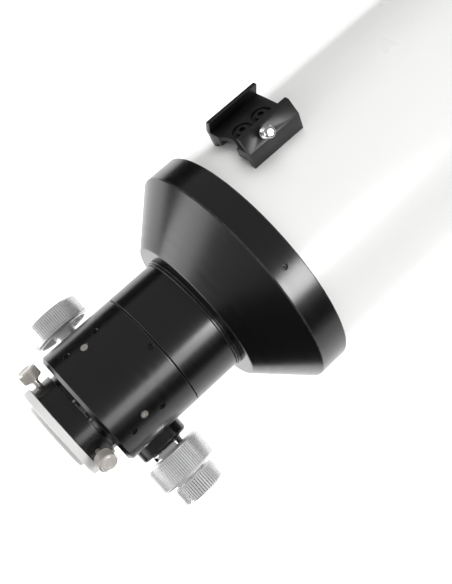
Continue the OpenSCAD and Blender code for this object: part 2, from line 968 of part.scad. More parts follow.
// Points of a face from the axis out to the rim; x is the rim's place, side the way it bulges.
function face(r, x, side) = [for (i = [0 : arc_steps])
  [lens_r * i / arc_steps, x + side * bulge(r, lens_r * i / arc_steps)]];

function reversed(list) = [for (i = [len(list) - 1 : -1 : 0]) list[i]];

module crown_lens() {
  color([0.75, 0.85, 0.9, 0.5])
    turned(concat(face(crown_rear, crown_edge, -1),
      reversed(face(crown_front, crown_edge + crown_rim, 1))));
}

module flint_lens() {
  color([0.75, 0.85, 0.9, 0.5])
    turned(concat([[0, lens_x], [lens_r, lens_x]],
      reversed(face(flint_front, lens_x + flint_rim, -1))));
}

module lens_spacer() {
  color(black)
    pipe_x(lens_r, lens_r - 0.5, lens_x + flint_rim, crown_edge - spacer_relief);
}

module lens_retaining_ring() {
  color(black)
    turned([[lens_r - 2.5, crown_edge + crown_rim + 1.4], [lens_r - 1, crown_edge + crown_rim + 0.4],
      [lens_r + 0.2, crown_edge + crown_rim + 0.4], [lens_r + 0.2, lens_x + 34],
      [lens_r - 2.5, lens_x + 34]]);
}

module dew_shield_ring() {
  color(black)
    turned([[tube_r + 0.3, shield_x0 - 4], [shield_r - 0.8, shield_x0 - 4],
      [shield_r, shield_x0 - 3.2], [shield_r, shield_x0],
      [shield_r - shield_wall, shield_x0], [shield_r - shield_wall, front_x + 8],
      [cell_r, front_x + 8], [cell_r, front_x - 4], [tube_r + 0.3, front_x - 4]]);
}

module dew_shield() {
  color(white)
    turned([[shield_r - shield_wall, shield_x0], [shield_r, shield_x0],
      [shield_r, shield_x1 - 1], [shield_r - 1, shield_x1], [shield_r - shield_wall, shield_x1]]);
}

module front_dust_cap() {
  plug_r = shield_r - shield_wall - 0.3;
  plug_l = 14;
  color(black)
    turned([[0, shield_x1 + 1], [40, shield_x1 + 1], [42, shield_x1 + 4],
      [shield_r - 1.5, shield_x1 + 4], [shield_r - 0.5, shield_x1 + 3], [shield_r - 0.5, shield_x1 + 0.3],
      [plug_r, shield_x1 + 0.3], [plug_r, shield_x1 - plug_l], [plug_r - cap_wall, shield_x1 - plug_l],
      [plug_r - cap_wall, shield_x1 + 1], [44, shield_x1 + 1], [42.5, shield_x1 - 1.5],
      [0, shield_x1 - 1.5]]);
}

// ---- Output ----

main_tube();
tube_baffles();
tail_cone();
tail_cone_screws();
lock_ring();
focuser_collar();
focuser_body();
rotation_set_screw();
bearing_bar_left();
bearing_bar_right();
bar_screws();
bar_set_screws();
bearing_pins();
bearing_left_front();
bearing_left_rear();
bearing_right_front();
bearing_right_rear();
shaft_block();
shaft_bush();
base_plate();
base_plate_screws();
tension_screw();
lock_screw();
drawtube();
drive_strip();
drawtube_baffle();
eyepiece_adapter();
compression_ring();
adapter_screw_left();
adapter_screw_right();
adapter_screw_under();
rear_dust_cap();
roller_shaft();
coarse_knob_left();
coarse_knob_right();
drive_hub();
knob_set_screws();
ball_carrier();
planet_balls();
ball_race();
reducer_flange();
flange_screws();
fine_knob();
fine_shaft();
finder_shoe();
finder_shoe_screws();
finder_thumbscrew();
cell_ring();
cell_ring_screws();
lens_cell();
cell_screws();
crown_lens();
lens_spacer();
flint_lens();
lens_retaining_ring();
dew_shield_ring();
dew_shield();
front_dust_cap();
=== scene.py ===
# %% [markdown]
# # The rear end of a refractor, finished for a close look
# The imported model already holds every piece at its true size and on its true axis. What it lacks is
# what light finds on a real telescope: edges that are broken instead of sharp, ribs cut round the
# knobs, knurling on the thumbscrews, an engraved scale, and surfaces that are turned, anodised,
# lacquered or moulded. Those are made here, around the model, in metres and in the same frame.

# %% Load the model and keep its box
import math

import bmesh
import bpy
import numpy as np
from mathutils import Matrix, Vector


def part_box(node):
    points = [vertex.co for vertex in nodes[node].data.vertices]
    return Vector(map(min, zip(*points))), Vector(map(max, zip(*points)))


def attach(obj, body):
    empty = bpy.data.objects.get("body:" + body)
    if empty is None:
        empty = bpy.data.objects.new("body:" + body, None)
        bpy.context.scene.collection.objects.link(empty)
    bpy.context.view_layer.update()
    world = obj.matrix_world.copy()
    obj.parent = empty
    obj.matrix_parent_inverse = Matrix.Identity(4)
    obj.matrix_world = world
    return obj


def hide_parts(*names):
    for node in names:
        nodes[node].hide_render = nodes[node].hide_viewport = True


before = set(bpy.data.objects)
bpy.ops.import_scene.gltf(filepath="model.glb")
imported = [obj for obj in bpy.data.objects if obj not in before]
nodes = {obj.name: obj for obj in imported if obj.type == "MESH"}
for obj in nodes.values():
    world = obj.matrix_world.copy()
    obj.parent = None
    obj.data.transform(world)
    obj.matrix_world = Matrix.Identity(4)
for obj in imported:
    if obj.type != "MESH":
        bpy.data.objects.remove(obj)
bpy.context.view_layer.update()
MM = 0.001
print("nodes:", len(nodes))

# %% Helpers that every section uses


def new_object(name, data):
    """Object that holds data, linked into the scene."""
    thing = bpy.data.objects.new(name, data)
    bpy.context.scene.collection.objects.link(thing)
    return thing


def baked(piece):
    """Mesh of a piece as it stands with its modifiers applied."""
    bpy.context.view_layer.update()
    graph = bpy.context.evaluated_depsgraph_get()
    return bpy.data.meshes.new_from_object(piece.evaluated_get(graph))


def new_material(name, **values):
    """Material with one Principled shader. An underscore in a keyword stands for a space."""
    material = bpy.data.materials.new(name)
    material.use_nodes = True
    shader = material.node_tree.nodes["Principled BSDF"]
    for socket, value in values.items():
        shader.inputs[socket.replace("_", " ")].default_value = value
    return material, material.node_tree, shader


# %% [markdown]
# ## Where things are
# Every shape below starts from the box of the piece it stands for. A box gives six numbers, and
# for a turned piece two of them are its ends and one is its radius, so hardly any place has to be
# typed in.

# %% Ends and radii of the turned pieces, in millimetres


def ends(node, axis=0):
    """Lowest and highest place of a node along one axis, in millimetres."""
    low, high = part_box(node)
    return low[axis] / MM, high[axis] / MM


def across(node, axis=1):
    """Half the width of a node along one axis: the outer radius of a piece turned about X."""
    low, high = ends(node, axis)
    return (high - low) / 2


TAIL_REAR, TAIL_FRONT = ends("tail_cone")
TUBE_R = across("main_tube")
BODY_REAR, BODY_FRONT = ends("focuser_body")
BODY_R = across("focuser_body")
ADAPTER_REAR = ends("eyepiece_adapter")[0]
DRAW_REAR, DRAW_FRONT = ends("drawtube")
shaft_low, shaft_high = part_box("roller_shaft")
SHAFT_X = (shaft_low.x + shaft_high.x) / 2 / MM
SHAFT_Z = (shaft_low.z + shaft_high.z) / 2 / MM
print("roller shaft at x", round(SHAFT_X, 2), "z", round(SHAFT_Z, 2), "mm")

# %% [markdown]
# ## The camera
# The instrument is seen from above and a little behind, from about 0.6 m. The camera is aimed by
# two directions, where it looks and which way is up, because a roll this large is hard to read as
# angles.

# %% Camera
CAMERA_AT = Vector((-0.42142, -0.03131, 0.57925))
LOOKS_ALONG = Vector((0.20662, 0.04652, -0.97731))
UP = Vector((0.65520, 0.73525, 0.17352))
LENS = 55.18

camera_data = bpy.data.cameras.new("camera")
camera_data.lens = LENS
camera_data.sensor_width = 36.0
camera_data.clip_start = 0.02
camera = new_object("camera", camera_data)
right = LOOKS_ALONG.cross(UP).normalized()
up = right.cross(LOOKS_ALONG).normalized()
turn = Matrix((right, up, -LOOKS_ALONG.normalized())).transposed()
camera.matrix_world = Matrix.Translation(CAMERA_AT) @ turn.to_4x4()
bpy.context.scene.camera = camera
bpy.context.scene.view_settings.view_transform = "Standard"
print("camera", round(CAMERA_AT.length, 3), "m from the middle of the tube")

# %% [markdown]
# ## The studio
# Black satin metal has almost no colour of its own: it is drawn by what it mirrors. A white floor
# far below, glowing a little, gives the thin grey bands along both silhouettes. Two soft boxes side
# by side, high on the right, give the single bright stripe that fades towards the eyepiece end. A
# panel low behind on the left lights the flank of the cone and the bevel of the body. Two more
# boxes only fill the white tube and the pale cap, and leave no reflection. Black flags at the
# right, behind and at the left keep the shadow side deep, and the rest of the room is a quiet grey.

# %% Floor, room and soft boxes
FOCUSER_AT = Vector((-0.33, 0.0, 0.0))
TUBE_AT = Vector((0.1, 0.0, 0.0))
FLOOR_Z = -0.55
FLOOR_WIDTH = 12.0
FLOOR_GLOW = 0.55
ROOM_GLOW = 0.30
# name, azimuth, elevation, distance, aim, width, height, radiance, seen in reflections
SOFT_BOXES = (
    ("key_box", -61, 47, 1.15, FOCUSER_AT, 0.36, 0.42, 13.0, True),
    ("key_wing", -84, 47, 1.15, FOCUSER_AT, 0.42, 0.36, 4.2, True),
    ("rear_panel", 156, -7, 1.3, FOCUSER_AT, 1.3, 0.75, 2.7, True),
    ("tube_fill", 58, 42, 2.0, TUBE_AT, 1.6, 1.6, 2.7, False),
    ("rear_fill", 175, 25, 1.6, FOCUSER_AT, 1.3, 1.3, 1.2, False))
# name, azimuth, elevation, distance, width, height
FLAGS = (("flag_right", -80, 14, 1.6, 2.0, 0.62), ("flag_rear", -138, -20, 0.60, 0.85, 0.95),
         ("flag_left", 82, -17, 0.9, 1.6, 0.5))


def from_focuser(azimuth, elevation):
    """Direction from the focuser; azimuth turns from +X towards +Y, in degrees."""
    a, e = math.radians(azimuth), math.radians(elevation)
    return Vector((math.cos(e) * math.cos(a), math.cos(e) * math.sin(a), math.sin(e)))


def facing(at, way):
    """Matrix of a flat thing at a place whose front, its +Z, points along way."""
    return Matrix.Translation(at) @ way.to_track_quat("Z", "Y").to_matrix().to_4x4()


def rectangle(name, width, height, z=0.0):
    """Mesh of one flat rectangle about the Z axis."""
    mesh = bpy.data.meshes.new(name)
    mesh.from_pydata([(x * width / 2, y * height / 2, z)
                      for x, y in ((-1, -1), (1, -1), (1, 1), (-1, 1))], [], [(0, 1, 2, 3)])
    return mesh


for name, azimuth, elevation, distance, aim, width, height, radiance, reflected in SOFT_BOXES:
    data = bpy.data.lights.new(name, "AREA")
    data.shape = "RECTANGLE"
    data.size = width
    data.size_y = height
    data.energy = radiance * math.pi * width * height
    at = FOCUSER_AT + distance * from_focuser(azimuth, elevation)
    lamp = new_object(name, data)
    lamp.matrix_world = facing(at, (at - aim).normalized())
    lamp.visible_camera = False
    lamp.visible_glossy = reflected
    print(name, "power", round(data.energy), "W")

card_black, _, _ = new_material("card_black", Base_Color=(0.004, 0.004, 0.004, 1.0), Roughness=1.0,
                                Specular_IOR_Level=0.0)
for name, azimuth, elevation, distance, width, height in FLAGS:
    way = from_focuser(azimuth, elevation)
    card = new_object(name, rectangle(name, width, height))
    card.matrix_world = facing(FOCUSER_AT + distance * way, way)
    card.visible_camera = False
    card.visible_diffuse = False
    card.visible_shadow = False
    card.data.materials.append(card_black)
    print(name, "black card")

world = bpy.data.worlds.new("room")
bpy.context.scene.world = world
world.use_nodes = True
room = world.node_tree.nodes["Background"]
room.inputs["Color"].default_value = (1.0, 1.0, 1.0, 1.0)
room.inputs["Strength"].default_value = ROOM_GLOW

floor = new_object("floor", rectangle("floor", FLOOR_WIDTH, FLOOR_WIDTH, FLOOR_Z))
floor_paint, _, _ = new_material(
    "floor_paint", Base_Color=(0.93, 0.93, 0.93, 1.0), Roughness=0.9, Specular_IOR_Level=0.0,
    Emission_Color=(1.0, 1.0, 1.0, 1.0), Emission_Strength=FLOOR_GLOW)
floor.data.materials.append(floor_paint)

# %% [markdown]
# ## Shared surface effects
# Four things happen to nearly every surface here, so each is one node group with its own inputs:
# the fine rings that a lathe tool leaves, the grain of anodising or paint, the pale line where an
# edge has been rubbed, and the soft marks of handling. They put out plain values. The shader that
# uses them stays in each material.

# %% A helper that starts a node group


def new_group(name, inputs, outputs):
    """Empty shader node group with float or vector sockets, and its two end nodes."""
    group = bpy.data.node_groups.new(name, "ShaderNodeTree")
    for socket, kind, value in inputs:
        made = group.interface.new_socket(name=socket, in_out="INPUT", socket_type=kind)
        if value is not None:
            made.default_value = value
    for socket in outputs:
        group.interface.new_socket(name=socket, in_out="OUTPUT", socket_type="NodeSocketFloat")
    return group, group.nodes.new("NodeGroupInput"), group.nodes.new("NodeGroupOutput")


def feed(tree, socket, value):
    """Give an input socket a number, a colour of three numbers, or a link from an output."""
    if isinstance(value, (int, float)):
        socket.default_value = value
    elif isinstance(value, tuple):
        socket.default_value = (*value, 1.0)
    else:
        tree.links.new(value, socket)


def math_node(tree, operation, *values):
    """Math node whose inputs are numbers or sockets; returns its output socket."""
    node = tree.nodes.new("ShaderNodeMath")
    node.operation = operation
    for socket, value in zip(node.inputs, values):
        feed(tree, socket, value)
    return node.outputs[0]


def noise_node(tree, dimensions, vector, scale, detail=2.0, roughness=0.5):
    """Noise texture of 1 or 3 dimensions; returns its value socket."""
    node = tree.nodes.new("ShaderNodeTexNoise")
    node.noise_dimensions = dimensions
    tree.links.new(vector, node.inputs["W" if dimensions == "1D" else "Vector"])
    feed(tree, node.inputs["Scale"], scale)
    node.inputs["Detail"].default_value = detail
    node.inputs["Roughness"].default_value = roughness
    return node.outputs["Fac"]


# %% [markdown]
# ### Rings left by the lathe
# A tool fed along a turning part cuts a very fine thread. Seen from a hand's breadth it reads as
# rings that catch the light unevenly. The rings depend on one number only, the place along the
# profile, so one-dimensional noise draws them, and there is no seam round the piece.

# %% Lathe rings
BANDS_PER_RING = 0.12
lathe_rings, ins, outs = new_group(
    "lathe_rings",
    [("Station", "NodeSocketFloat", 0.0), ("Pitch", "NodeSocketFloat", 0.0006)],
    ["Rings", "Bands"])
per_metre = math_node(lathe_rings, "DIVIDE", 1.0, ins.outputs["Pitch"])
fine = noise_node(lathe_rings, "1D", ins.outputs["Station"], per_metre, 3.0, 0.6)
wide = noise_node(lathe_rings, "1D", ins.outputs["Station"],
                  math_node(lathe_rings, "MULTIPLY", per_metre, BANDS_PER_RING), 1.0)
lathe_rings.links.new(fine, outs.inputs["Rings"])
lathe_rings.links.new(wide, outs.inputs["Bands"])
print("group", lathe_rings.name)

# %% [markdown]
# ### Grain
# Bead blasting, anodising, lacquer and moulded plastic all leave a fine even texture. Two noises an
# octave and a half apart look less mechanical than one.

# %% Grain
LARGE_SCALE = 0.35
LARGE_SHARE = 0.35
grain, ins, outs = new_group(
    "grain",
    [("Vector", "NodeSocketVector", None), ("Size", "NodeSocketFloat", 0.0004)],
    ["Grain"])
density = math_node(grain, "DIVIDE", 1.0, ins.outputs["Size"])
small = noise_node(grain, "3D", ins.outputs["Vector"], density, 2.0, 0.65)
large = noise_node(grain, "3D", ins.outputs["Vector"],
                   math_node(grain, "MULTIPLY", density, LARGE_SCALE), 1.0)
mixed = math_node(grain, "ADD", math_node(grain, "MULTIPLY", small, 1 - LARGE_SHARE),
                  math_node(grain, "MULTIPLY", large, LARGE_SHARE))
grain.links.new(mixed, outs.inputs["Grain"])
print("group", grain.name)

# %% [markdown]
# ### Rubbed edges, painted highlights and painted shade
# The meshes below carry a number called edge on every point: one on a broken edge, nothing
# elsewhere. Noise breaks it up, since an edge is never rubbed evenly. On rounded edges the lighter
# colour it gives is rubbed metal; on the rims of drilled holes it is a painted highlight. A second
# number, groove, is one at the bottom of a rib's groove or a knurl's valley, where the colour is
# darkened as painted shade.

# %% Rubbed edges, painted highlights and painted shade in grooves
PATCHES_PER_METRE = 240.0
WEAR_GAIN, WEAR_OFFSET = 1.6, -0.35
edge_wear_and_painted_light, ins, outs = new_group(
    "edge_wear_and_painted_light",
    [("Vector", "NodeSocketVector", None), ("Amount", "NodeSocketFloat", 0.5)],
    ["Wear", "Groove"])
edge_mark, groove_mark = (edge_wear_and_painted_light.nodes.new("ShaderNodeAttribute") for _ in range(2))
edge_mark.attribute_name = "edge"
groove_mark.attribute_name = "groove"
patch = noise_node(edge_wear_and_painted_light, "3D", ins.outputs["Vector"], PATCHES_PER_METRE, 3.0, 0.7)
uneven = math_node(edge_wear_and_painted_light, "MULTIPLY_ADD", patch, WEAR_GAIN, WEAR_OFFSET)
# The edge number lightens the colour: rubbed metal on rounded edges, a painted highlight on the rims
# of drilled holes.
wear_and_painted_light = math_node(edge_wear_and_painted_light, "MULTIPLY", edge_mark.outputs["Fac"], uneven)
wear_and_painted_light = math_node(edge_wear_and_painted_light, "MULTIPLY", wear_and_painted_light, ins.outputs["Amount"])
limited = edge_wear_and_painted_light.nodes.new("ShaderNodeClamp")
edge_wear_and_painted_light.links.new(wear_and_painted_light, limited.inputs["Value"])
edge_wear_and_painted_light.links.new(limited.outputs[0], outs.inputs["Wear"])
# The groove number is handed on so that the finishes can darken grooves as painted shade.
edge_wear_and_painted_light.links.new(groove_mark.outputs["Fac"], outs.inputs["Groove"])
print("group", edge_wear_and_painted_light.name)

# %% [markdown]
# ### Handling
# Fingers leave faint cloudy patches and dust settles in specks. Both are kept very weak: this is a
# clean instrument, and they only stop large areas from looking computed.

# %% Handling marks
CLOUDS_PER_METRE = 38.0
SPECKS_PER_METRE = 2600.0
SPECK_ABOVE = 0.76
handling, ins, outs = new_group(
    "handling", [("Vector", "NodeSocketVector", None)], ["Smudge", "Dust"])
cloud = noise_node(handling, "3D", ins.outputs["Vector"], CLOUDS_PER_METRE, 3.0, 0.55)
speck = noise_node(handling, "3D", ins.outputs["Vector"], SPECKS_PER_METRE, 1.0)
dusty = math_node(handling, "GREATER_THAN", speck, SPECK_ABOVE)
handling.links.new(cloud, outs.inputs["Smudge"])
handling.links.new(dusty, outs.inputs["Dust"])
print("group", handling.name)

# %% [markdown]
# ## Finishes
# One recipe makes every finish: a colour that drifts a little, a roughness that follows smudges
# and lathe rings, and a bump from rings and grain. What differs is the numbers. A turned piece
# takes its rings from its own UV map, whose V is the length along the profile. A node of the model
# has no such map, so there the rings follow X plus the distance from the X axis.

# %% The recipe for a finish
# The first colour below is the near black that the bottoms of grooves are darkened towards: painted
# shade.
GROOVE_SHADE = (0.03, 0.03, 0.03)
DUST = (0.45, 0.44, 0.42)
SMOOTHEST = 0.03


def mix_colours(tree, factor, a, b):
    """Mix node between a colour or socket a and a colour b; returns the result socket."""
    node = tree.nodes.new("ShaderNodeMix")
    node.data_type = "RGBA"
    tree.links.new(factor, node.inputs["Factor"])
    for socket, value in zip([s for s in node.inputs if s.type == "RGBA"], (a, b)):
        feed(tree, socket, value)
    return [s for s in node.outputs if s.type == "RGBA"][0]


def use_group(tree, group, **values):
    """Place a node group and set or link its inputs by name."""
    node = tree.nodes.new("ShaderNodeGroup")
    node.node_tree = group
    for name, value in values.items():
        feed(tree, node.inputs[name], value)
    return node


def finish(name, colour, drift, roughness, metallic=0.0, ior=1.5, rings=0.0, pitch=0.0006,
           grain_size=0.0004, grain_bump=0.0, wear=0.0, wear_and_highlight_colour=(0.3, 0.3, 0.3), coat=0.0,
           dust=0.0, turned=True, cloud=0.06, bands=0.06, groove_shade=0.8):
    """Material from the shared effects. Lengths are in metres, bumps are heights in metres."""
    material, tree, shader = new_material(name, Metallic=metallic, IOR=ior, Coat_Roughness=0.06,
                                          Coat_Weight=coat)
    place = tree.nodes.new("ShaderNodeTexCoord")
    vector = place.outputs["Object"]
    parts = tree.nodes.new("ShaderNodeSeparateXYZ")
    if turned:
        tree.links.new(place.outputs["UV"], parts.inputs[0])
        station = parts.outputs["Y"]
    else:
        tree.links.new(vector, parts.inputs[0])
        radius = math_node(tree, "SQRT", math_node(
            tree, "ADD", math_node(tree, "POWER", parts.outputs["Y"], 2.0),
            math_node(tree, "POWER", parts.outputs["Z"], 2.0)))
        station = math_node(tree, "ADD", parts.outputs["X"], radius)
    marks = use_group(tree, lathe_rings, Station=station, Pitch=pitch)
    grains = use_group(tree, grain, Vector=vector, Size=grain_size)
    hands = use_group(tree, handling, Vector=vector)
    wear_and_painted_light = use_group(tree, edge_wear_and_painted_light, Vector=vector, Amount=wear)

    base = mix_colours(tree, hands.outputs["Smudge"], colour, drift)
    # Lighter colour on edges: rubbed metal on rounded edges, a painted highlight on the rims of
    # drilled holes.
    base = mix_colours(tree, wear_and_painted_light.outputs["Wear"], base, wear_and_highlight_colour)
    # Painted shade: the colour at the bottom of ribs' and knurls' grooves is darkened towards near
    # black.
    groove_shade_mask = math_node(tree, "MULTIPLY", wear_and_painted_light.outputs["Groove"], groove_shade)
    base = mix_colours(tree, groove_shade_mask, base, GROOVE_SHADE)
    dusty = math_node(tree, "MULTIPLY", hands.outputs["Dust"], dust)
    base = mix_colours(tree, dusty, base, DUST)
    tree.links.new(base, shader.inputs["Base Color"])

    rough = math_node(tree, "MULTIPLY_ADD", hands.outputs["Smudge"], cloud, roughness - cloud / 2)
    rough = math_node(tree, "ADD", rough, math_node(
        tree, "MULTIPLY_ADD", marks.outputs["Bands"], bands, -bands / 2))
    rough = math_node(tree, "MAXIMUM", rough, SMOOTHEST)
    tree.links.new(rough, shader.inputs["Roughness"])

    height = math_node(tree, "ADD", math_node(tree, "MULTIPLY", marks.outputs["Rings"], rings),
                       math_node(tree, "MULTIPLY", grains.outputs["Grain"], grain_bump))
    bump = tree.nodes.new("ShaderNodeBump")
    bump.inputs["Distance"].default_value = 1.0
    bump.inputs["Strength"].default_value = 1.0
    tree.links.new(height, bump.inputs["Height"])
    tree.links.new(bump.outputs["Normal"], shader.inputs["Normal"])
    print("finish", name)
    return material


# %% [markdown]
# ## The finishes of this instrument
# Black anodising is a thin glassy layer over dyed metal, so it is a dark non-metal with a clear
# reflection, and its edges rub back to grey. Silver anodising keeps the metal's own reflection but
# scatters much of it, so it is half way to a matt white. The thumbscrews are nickel, warmer than
# steel. The tube is gloss lacquer with the faintest orange peel, and the dust cap is matt moulded
# plastic.

# %% Finishes
UM = 0.000001
BLACK = dict(colour=(0.0035, 0.0035, 0.0038), drift=(0.0055, 0.0055, 0.006), ior=1.58, wear=0.5,
             wear_and_highlight_colour=(0.10, 0.10, 0.10), grain_size=0.00025, grain_bump=0.5 * UM, dust=0.04)
black_turned = finish("black_turned", roughness=0.22, rings=0.5 * UM, pitch=0.0005, **BLACK)
black_milled = finish("black_milled", roughness=0.30, turned=False, **BLACK)
black_blasted = finish("black_blasted", (0.007, 0.007, 0.0075), (0.011, 0.011, 0.012), 0.38,
                       grain_size=0.00035, grain_bump=3 * UM, wear=0.45,
                       wear_and_highlight_colour=(0.14, 0.14, 0.14), turned=False, dust=0.05)
matt_lining = finish("matt_lining", (0.006, 0.006, 0.006), (0.010, 0.010, 0.010), 0.92, ior=1.3,
                     grain_size=0.0006, grain_bump=20 * UM, turned=False)
SILVER = dict(colour=(0.84, 0.84, 0.845), drift=(0.88, 0.88, 0.885), metallic=0.55,
              wear_and_highlight_colour=(0.95, 0.95, 0.95), wear=0.6, grain_size=0.0003, grain_bump=0.3 * UM)
silver_turned = finish("silver_turned", roughness=0.28, rings=0.6 * UM, pitch=0.0004, **SILVER)
nickel_turned = finish("nickel_turned", (0.66, 0.62, 0.575), (0.73, 0.69, 0.64), 0.34,
                       metallic=0.65, rings=1.5 * UM, wear=0.7, wear_and_highlight_colour=(0.88, 0.86, 0.83),
                       grain_size=0.0003, grain_bump=0.5 * UM, groove_shade=0.55)
bright_turned = finish("bright_turned", (0.86, 0.86, 0.86), (0.80, 0.80, 0.80), 0.10, metallic=1.0,
                       rings=0.8 * UM, pitch=0.0005, wear=0.3, wear_and_highlight_colour=(0.95, 0.95, 0.95),
                       cloud=0.04, bands=0.05)
steel_plain = finish("steel_plain", (0.56, 0.56, 0.57), (0.62, 0.62, 0.63), 0.28, metallic=1.0,
                     rings=1.0 * UM, turned=False, grain_bump=1.0 * UM)
chrome_plain = finish("chrome_plain", (0.82, 0.79, 0.74), (0.88, 0.85, 0.80), 0.16, metallic=0.85,
                      rings=0.5 * UM, turned=False, cloud=0.04, bands=0.04)
brass_plain = finish("brass_plain", (0.72, 0.52, 0.24), (0.62, 0.44, 0.20), 0.32, metallic=1.0,
                     rings=2.0 * UM, turned=False, grain_bump=1.0 * UM)
white_lacquer = finish("white_lacquer", (0.80, 0.80, 0.79), (0.78, 0.78, 0.77), 0.28, ior=1.45,
                       grain_size=0.0022, grain_bump=2 * UM, coat=0.2, wear=0.1,
                       wear_and_highlight_colour=(0.7, 0.7, 0.7), cloud=0.03, bands=0.0, dust=0.05)
cap_moulded = finish("cap_moulded", (0.74, 0.74, 0.73), (0.71, 0.71, 0.70), 0.48, ior=1.46,
                     grain_size=0.0005, grain_bump=6 * UM, wear=0.3,
                     wear_and_highlight_colour=(0.86, 0.86, 0.85), bands=0.05)
black_moulded = finish("black_moulded", (0.02, 0.02, 0.02), (0.03, 0.03, 0.03), 0.5, ior=1.46,
                       grain_size=0.0006, grain_bump=10 * UM, wear=0.3,
                       wear_and_highlight_colour=(0.10, 0.10, 0.10), dust=0.05)
white_fill = finish("white_fill", (0.90, 0.90, 0.89), (0.84, 0.84, 0.83), 0.55, ior=1.45,
                    grain_size=0.0002, grain_bump=3 * UM, turned=False)

# %% [markdown]
# Glass is the one finish outside the recipe. It is clear, so its colour, weight and roughness stay
# plain numbers, and only the bloom of its coating drifts a little with a weak noise in roughness.

# %% Coated glass
coated_glass, glass_tree, glass = new_material(
    "coated_glass", Base_Color=(0.93, 0.98, 0.96, 1.0), Transmission_Weight=1.0, IOR=1.52,
    Thin_Film_Thickness=120.0)
glass_place = glass_tree.nodes.new("ShaderNodeTexCoord")
glass_noise = noise_node(glass_tree, "3D", glass_place.outputs["Object"], 60.0, 2.0)
glass_tree.links.new(math_node(glass_tree, "MULTIPLY", glass_noise, 0.03),
                     glass.inputs["Roughness"])
print("finish coated_glass")

# %% [markdown]
# ## Turning a profile into a piece
# Almost everything here was made on a lathe, so almost everything is one profile carried round an
# axis. Three helpers are enough: one breaks the corners of a profile, one carries it round, and one
# puts the finished grid into a mesh.

# %% Breaking the corners of a profile
ARC_STEPS = 4
SUPPORT = 0.25
ROUND_SHARE, SUPPORT_SHARE = 0.45, 0.49


def softened(rows, closed):
    """Profile with every corner rounded. A row is (along, radius, round, weight) in millimetres.

    A corner B between A and C becomes the curve (1-u)^2 P + 2u(1-u) B + u^2 Q, where P and Q lie
    on the two sides at the corner's round from B. Each straight stretch keeps a point close to both
    its ends, so that its shading stays straight. Returns along, radius, edge and weight as arrays.
    """
    table = np.array([(*row, 0.0, 0.0)[:4] for row in rows], float)
    count = len(table)
    u = np.linspace(0.0, 1.0, ARC_STEPS)[:, None]
    out = []
    for k in range(count):
        here = table[k]
        sides = [table[m % count][:2] - here[:2] for m in (k - 1, k + 1)]
        longs = [np.hypot(*side) for side in sides]
        reach = min(here[2], *(ROUND_SHARE * long for long in longs))
        if reach <= 0.0 or (not closed and k in (0, count - 1)):
            out.append(np.array([[here[0], here[1], 0.0, here[3]]]))
            continue
        start, stop = (here[:2] + side / long * reach for side, long in zip(sides, longs))
        curve = (1 - u) ** 2 * start + 2 * u * (1 - u) * here[:2] + u ** 2 * stop
        lead, tail = (here[:2] + side / long * min(reach + SUPPORT, SUPPORT_SHARE * long)
                      for side, long in zip(sides, longs))
        points = np.vstack([lead, curve, tail])
        edge = np.r_[0.0, np.ones(len(curve)), 0.0]
        out.append(np.column_stack([points, edge, np.full(len(points), here[3])]))
    full = np.vstack(out)
    keep = np.r_[True, np.hypot(*np.diff(full[:, :2], axis=0).T) > 1e-4]
    return full[keep].T


# %% Frames that a lathe axis can have


def axis_frame(origin, along, top=(0.0, 0.0, 1.0)):
    """Origin in millimetres and three unit rows: along the axis, sideways, and towards top."""
    a = np.array(along, float)
    a /= np.linalg.norm(a)
    t = np.array(top, float)
    t -= a * (t @ a)
    t /= np.linalg.norm(t)
    return np.array(origin, float), np.array([a, np.cross(t, a), t])


OPTICAL = axis_frame((0, 0, 0), (1, 0, 0))
TO_LEFT = axis_frame((SHAFT_X, 0, SHAFT_Z), (0, 1, 0))
TO_RIGHT = axis_frame((SHAFT_X, 0, SHAFT_Z), (0, -1, 0))


def radial_frame(x, angle):
    """Frame of a screw at x that points outwards, at an angle from the top to the left."""
    a = math.radians(angle)
    return axis_frame((x, 0, 0), (0, math.sin(a), math.cos(a)), (1, 0, 0))


# %% Carrying a profile round its axis


def mesh_from_grid(name, points, station, edge, closed):
    """Mesh of quads over a grid of points (stations, turns, 3) that wraps round in its turns."""
    rows, cols = points.shape[:2]
    i, j = np.meshgrid(np.arange(rows if closed else rows - 1), np.arange(cols), indexing="ij")
    i2, j2 = (i + 1) % rows, (j + 1) % cols
    quads = np.stack([i * cols + j, i * cols + j2, i2 * cols + j2, i2 * cols + j], -1)
    quads = quads.reshape(-1, 4)
    p = points.reshape(-1, 3)
    a, b, c, d = (p[quads[:, k]] for k in range(4))
    volume = (np.cross(a, b) * c + np.cross(a, c) * d).sum() / 6
    us = np.stack([j, j + 1, j + 1, j], -1).reshape(-1, 4) / cols
    station = np.r_[station, station[-1]]
    vs = np.stack([station[i], station[i], station[i + 1], station[i + 1]], -1).reshape(-1, 4)
    if volume < 0:
        quads, us, vs = quads[:, ::-1], us[:, ::-1], vs[:, ::-1]
    mesh = bpy.data.meshes.new(name)
    mesh.vertices.add(len(p))
    mesh.vertices.foreach_set("co", p.ravel())
    mesh.loops.add(quads.size)
    mesh.loops.foreach_set("vertex_index", quads.ravel().astype(np.int32))
    mesh.polygons.add(len(quads))
    mesh.polygons.foreach_set("loop_start", np.arange(0, quads.size, 4, dtype=np.int32))
    mesh.update(calc_edges=True)
    layer = mesh.uv_layers.new(name="profile")
    layer.data.foreach_set("uv", np.stack([us.ravel(), vs.ravel()], -1).ravel())
    mark = mesh.attributes.new("edge", "FLOAT", "POINT")
    mark.data.foreach_set("value", np.repeat(edge, cols))
    return mesh


SMOOTH_UNDER = math.radians(28)
WELD = 1e-7


def shade(mesh):
    """Smooth shading, with edges sharper than SMOOTH_UNDER kept crisp."""
    mesh.polygons.foreach_set("use_smooth", np.ones(len(mesh.polygons), bool))
    mesh.set_sharp_from_angle(angle=SMOOTH_UNDER)
    mesh.update()


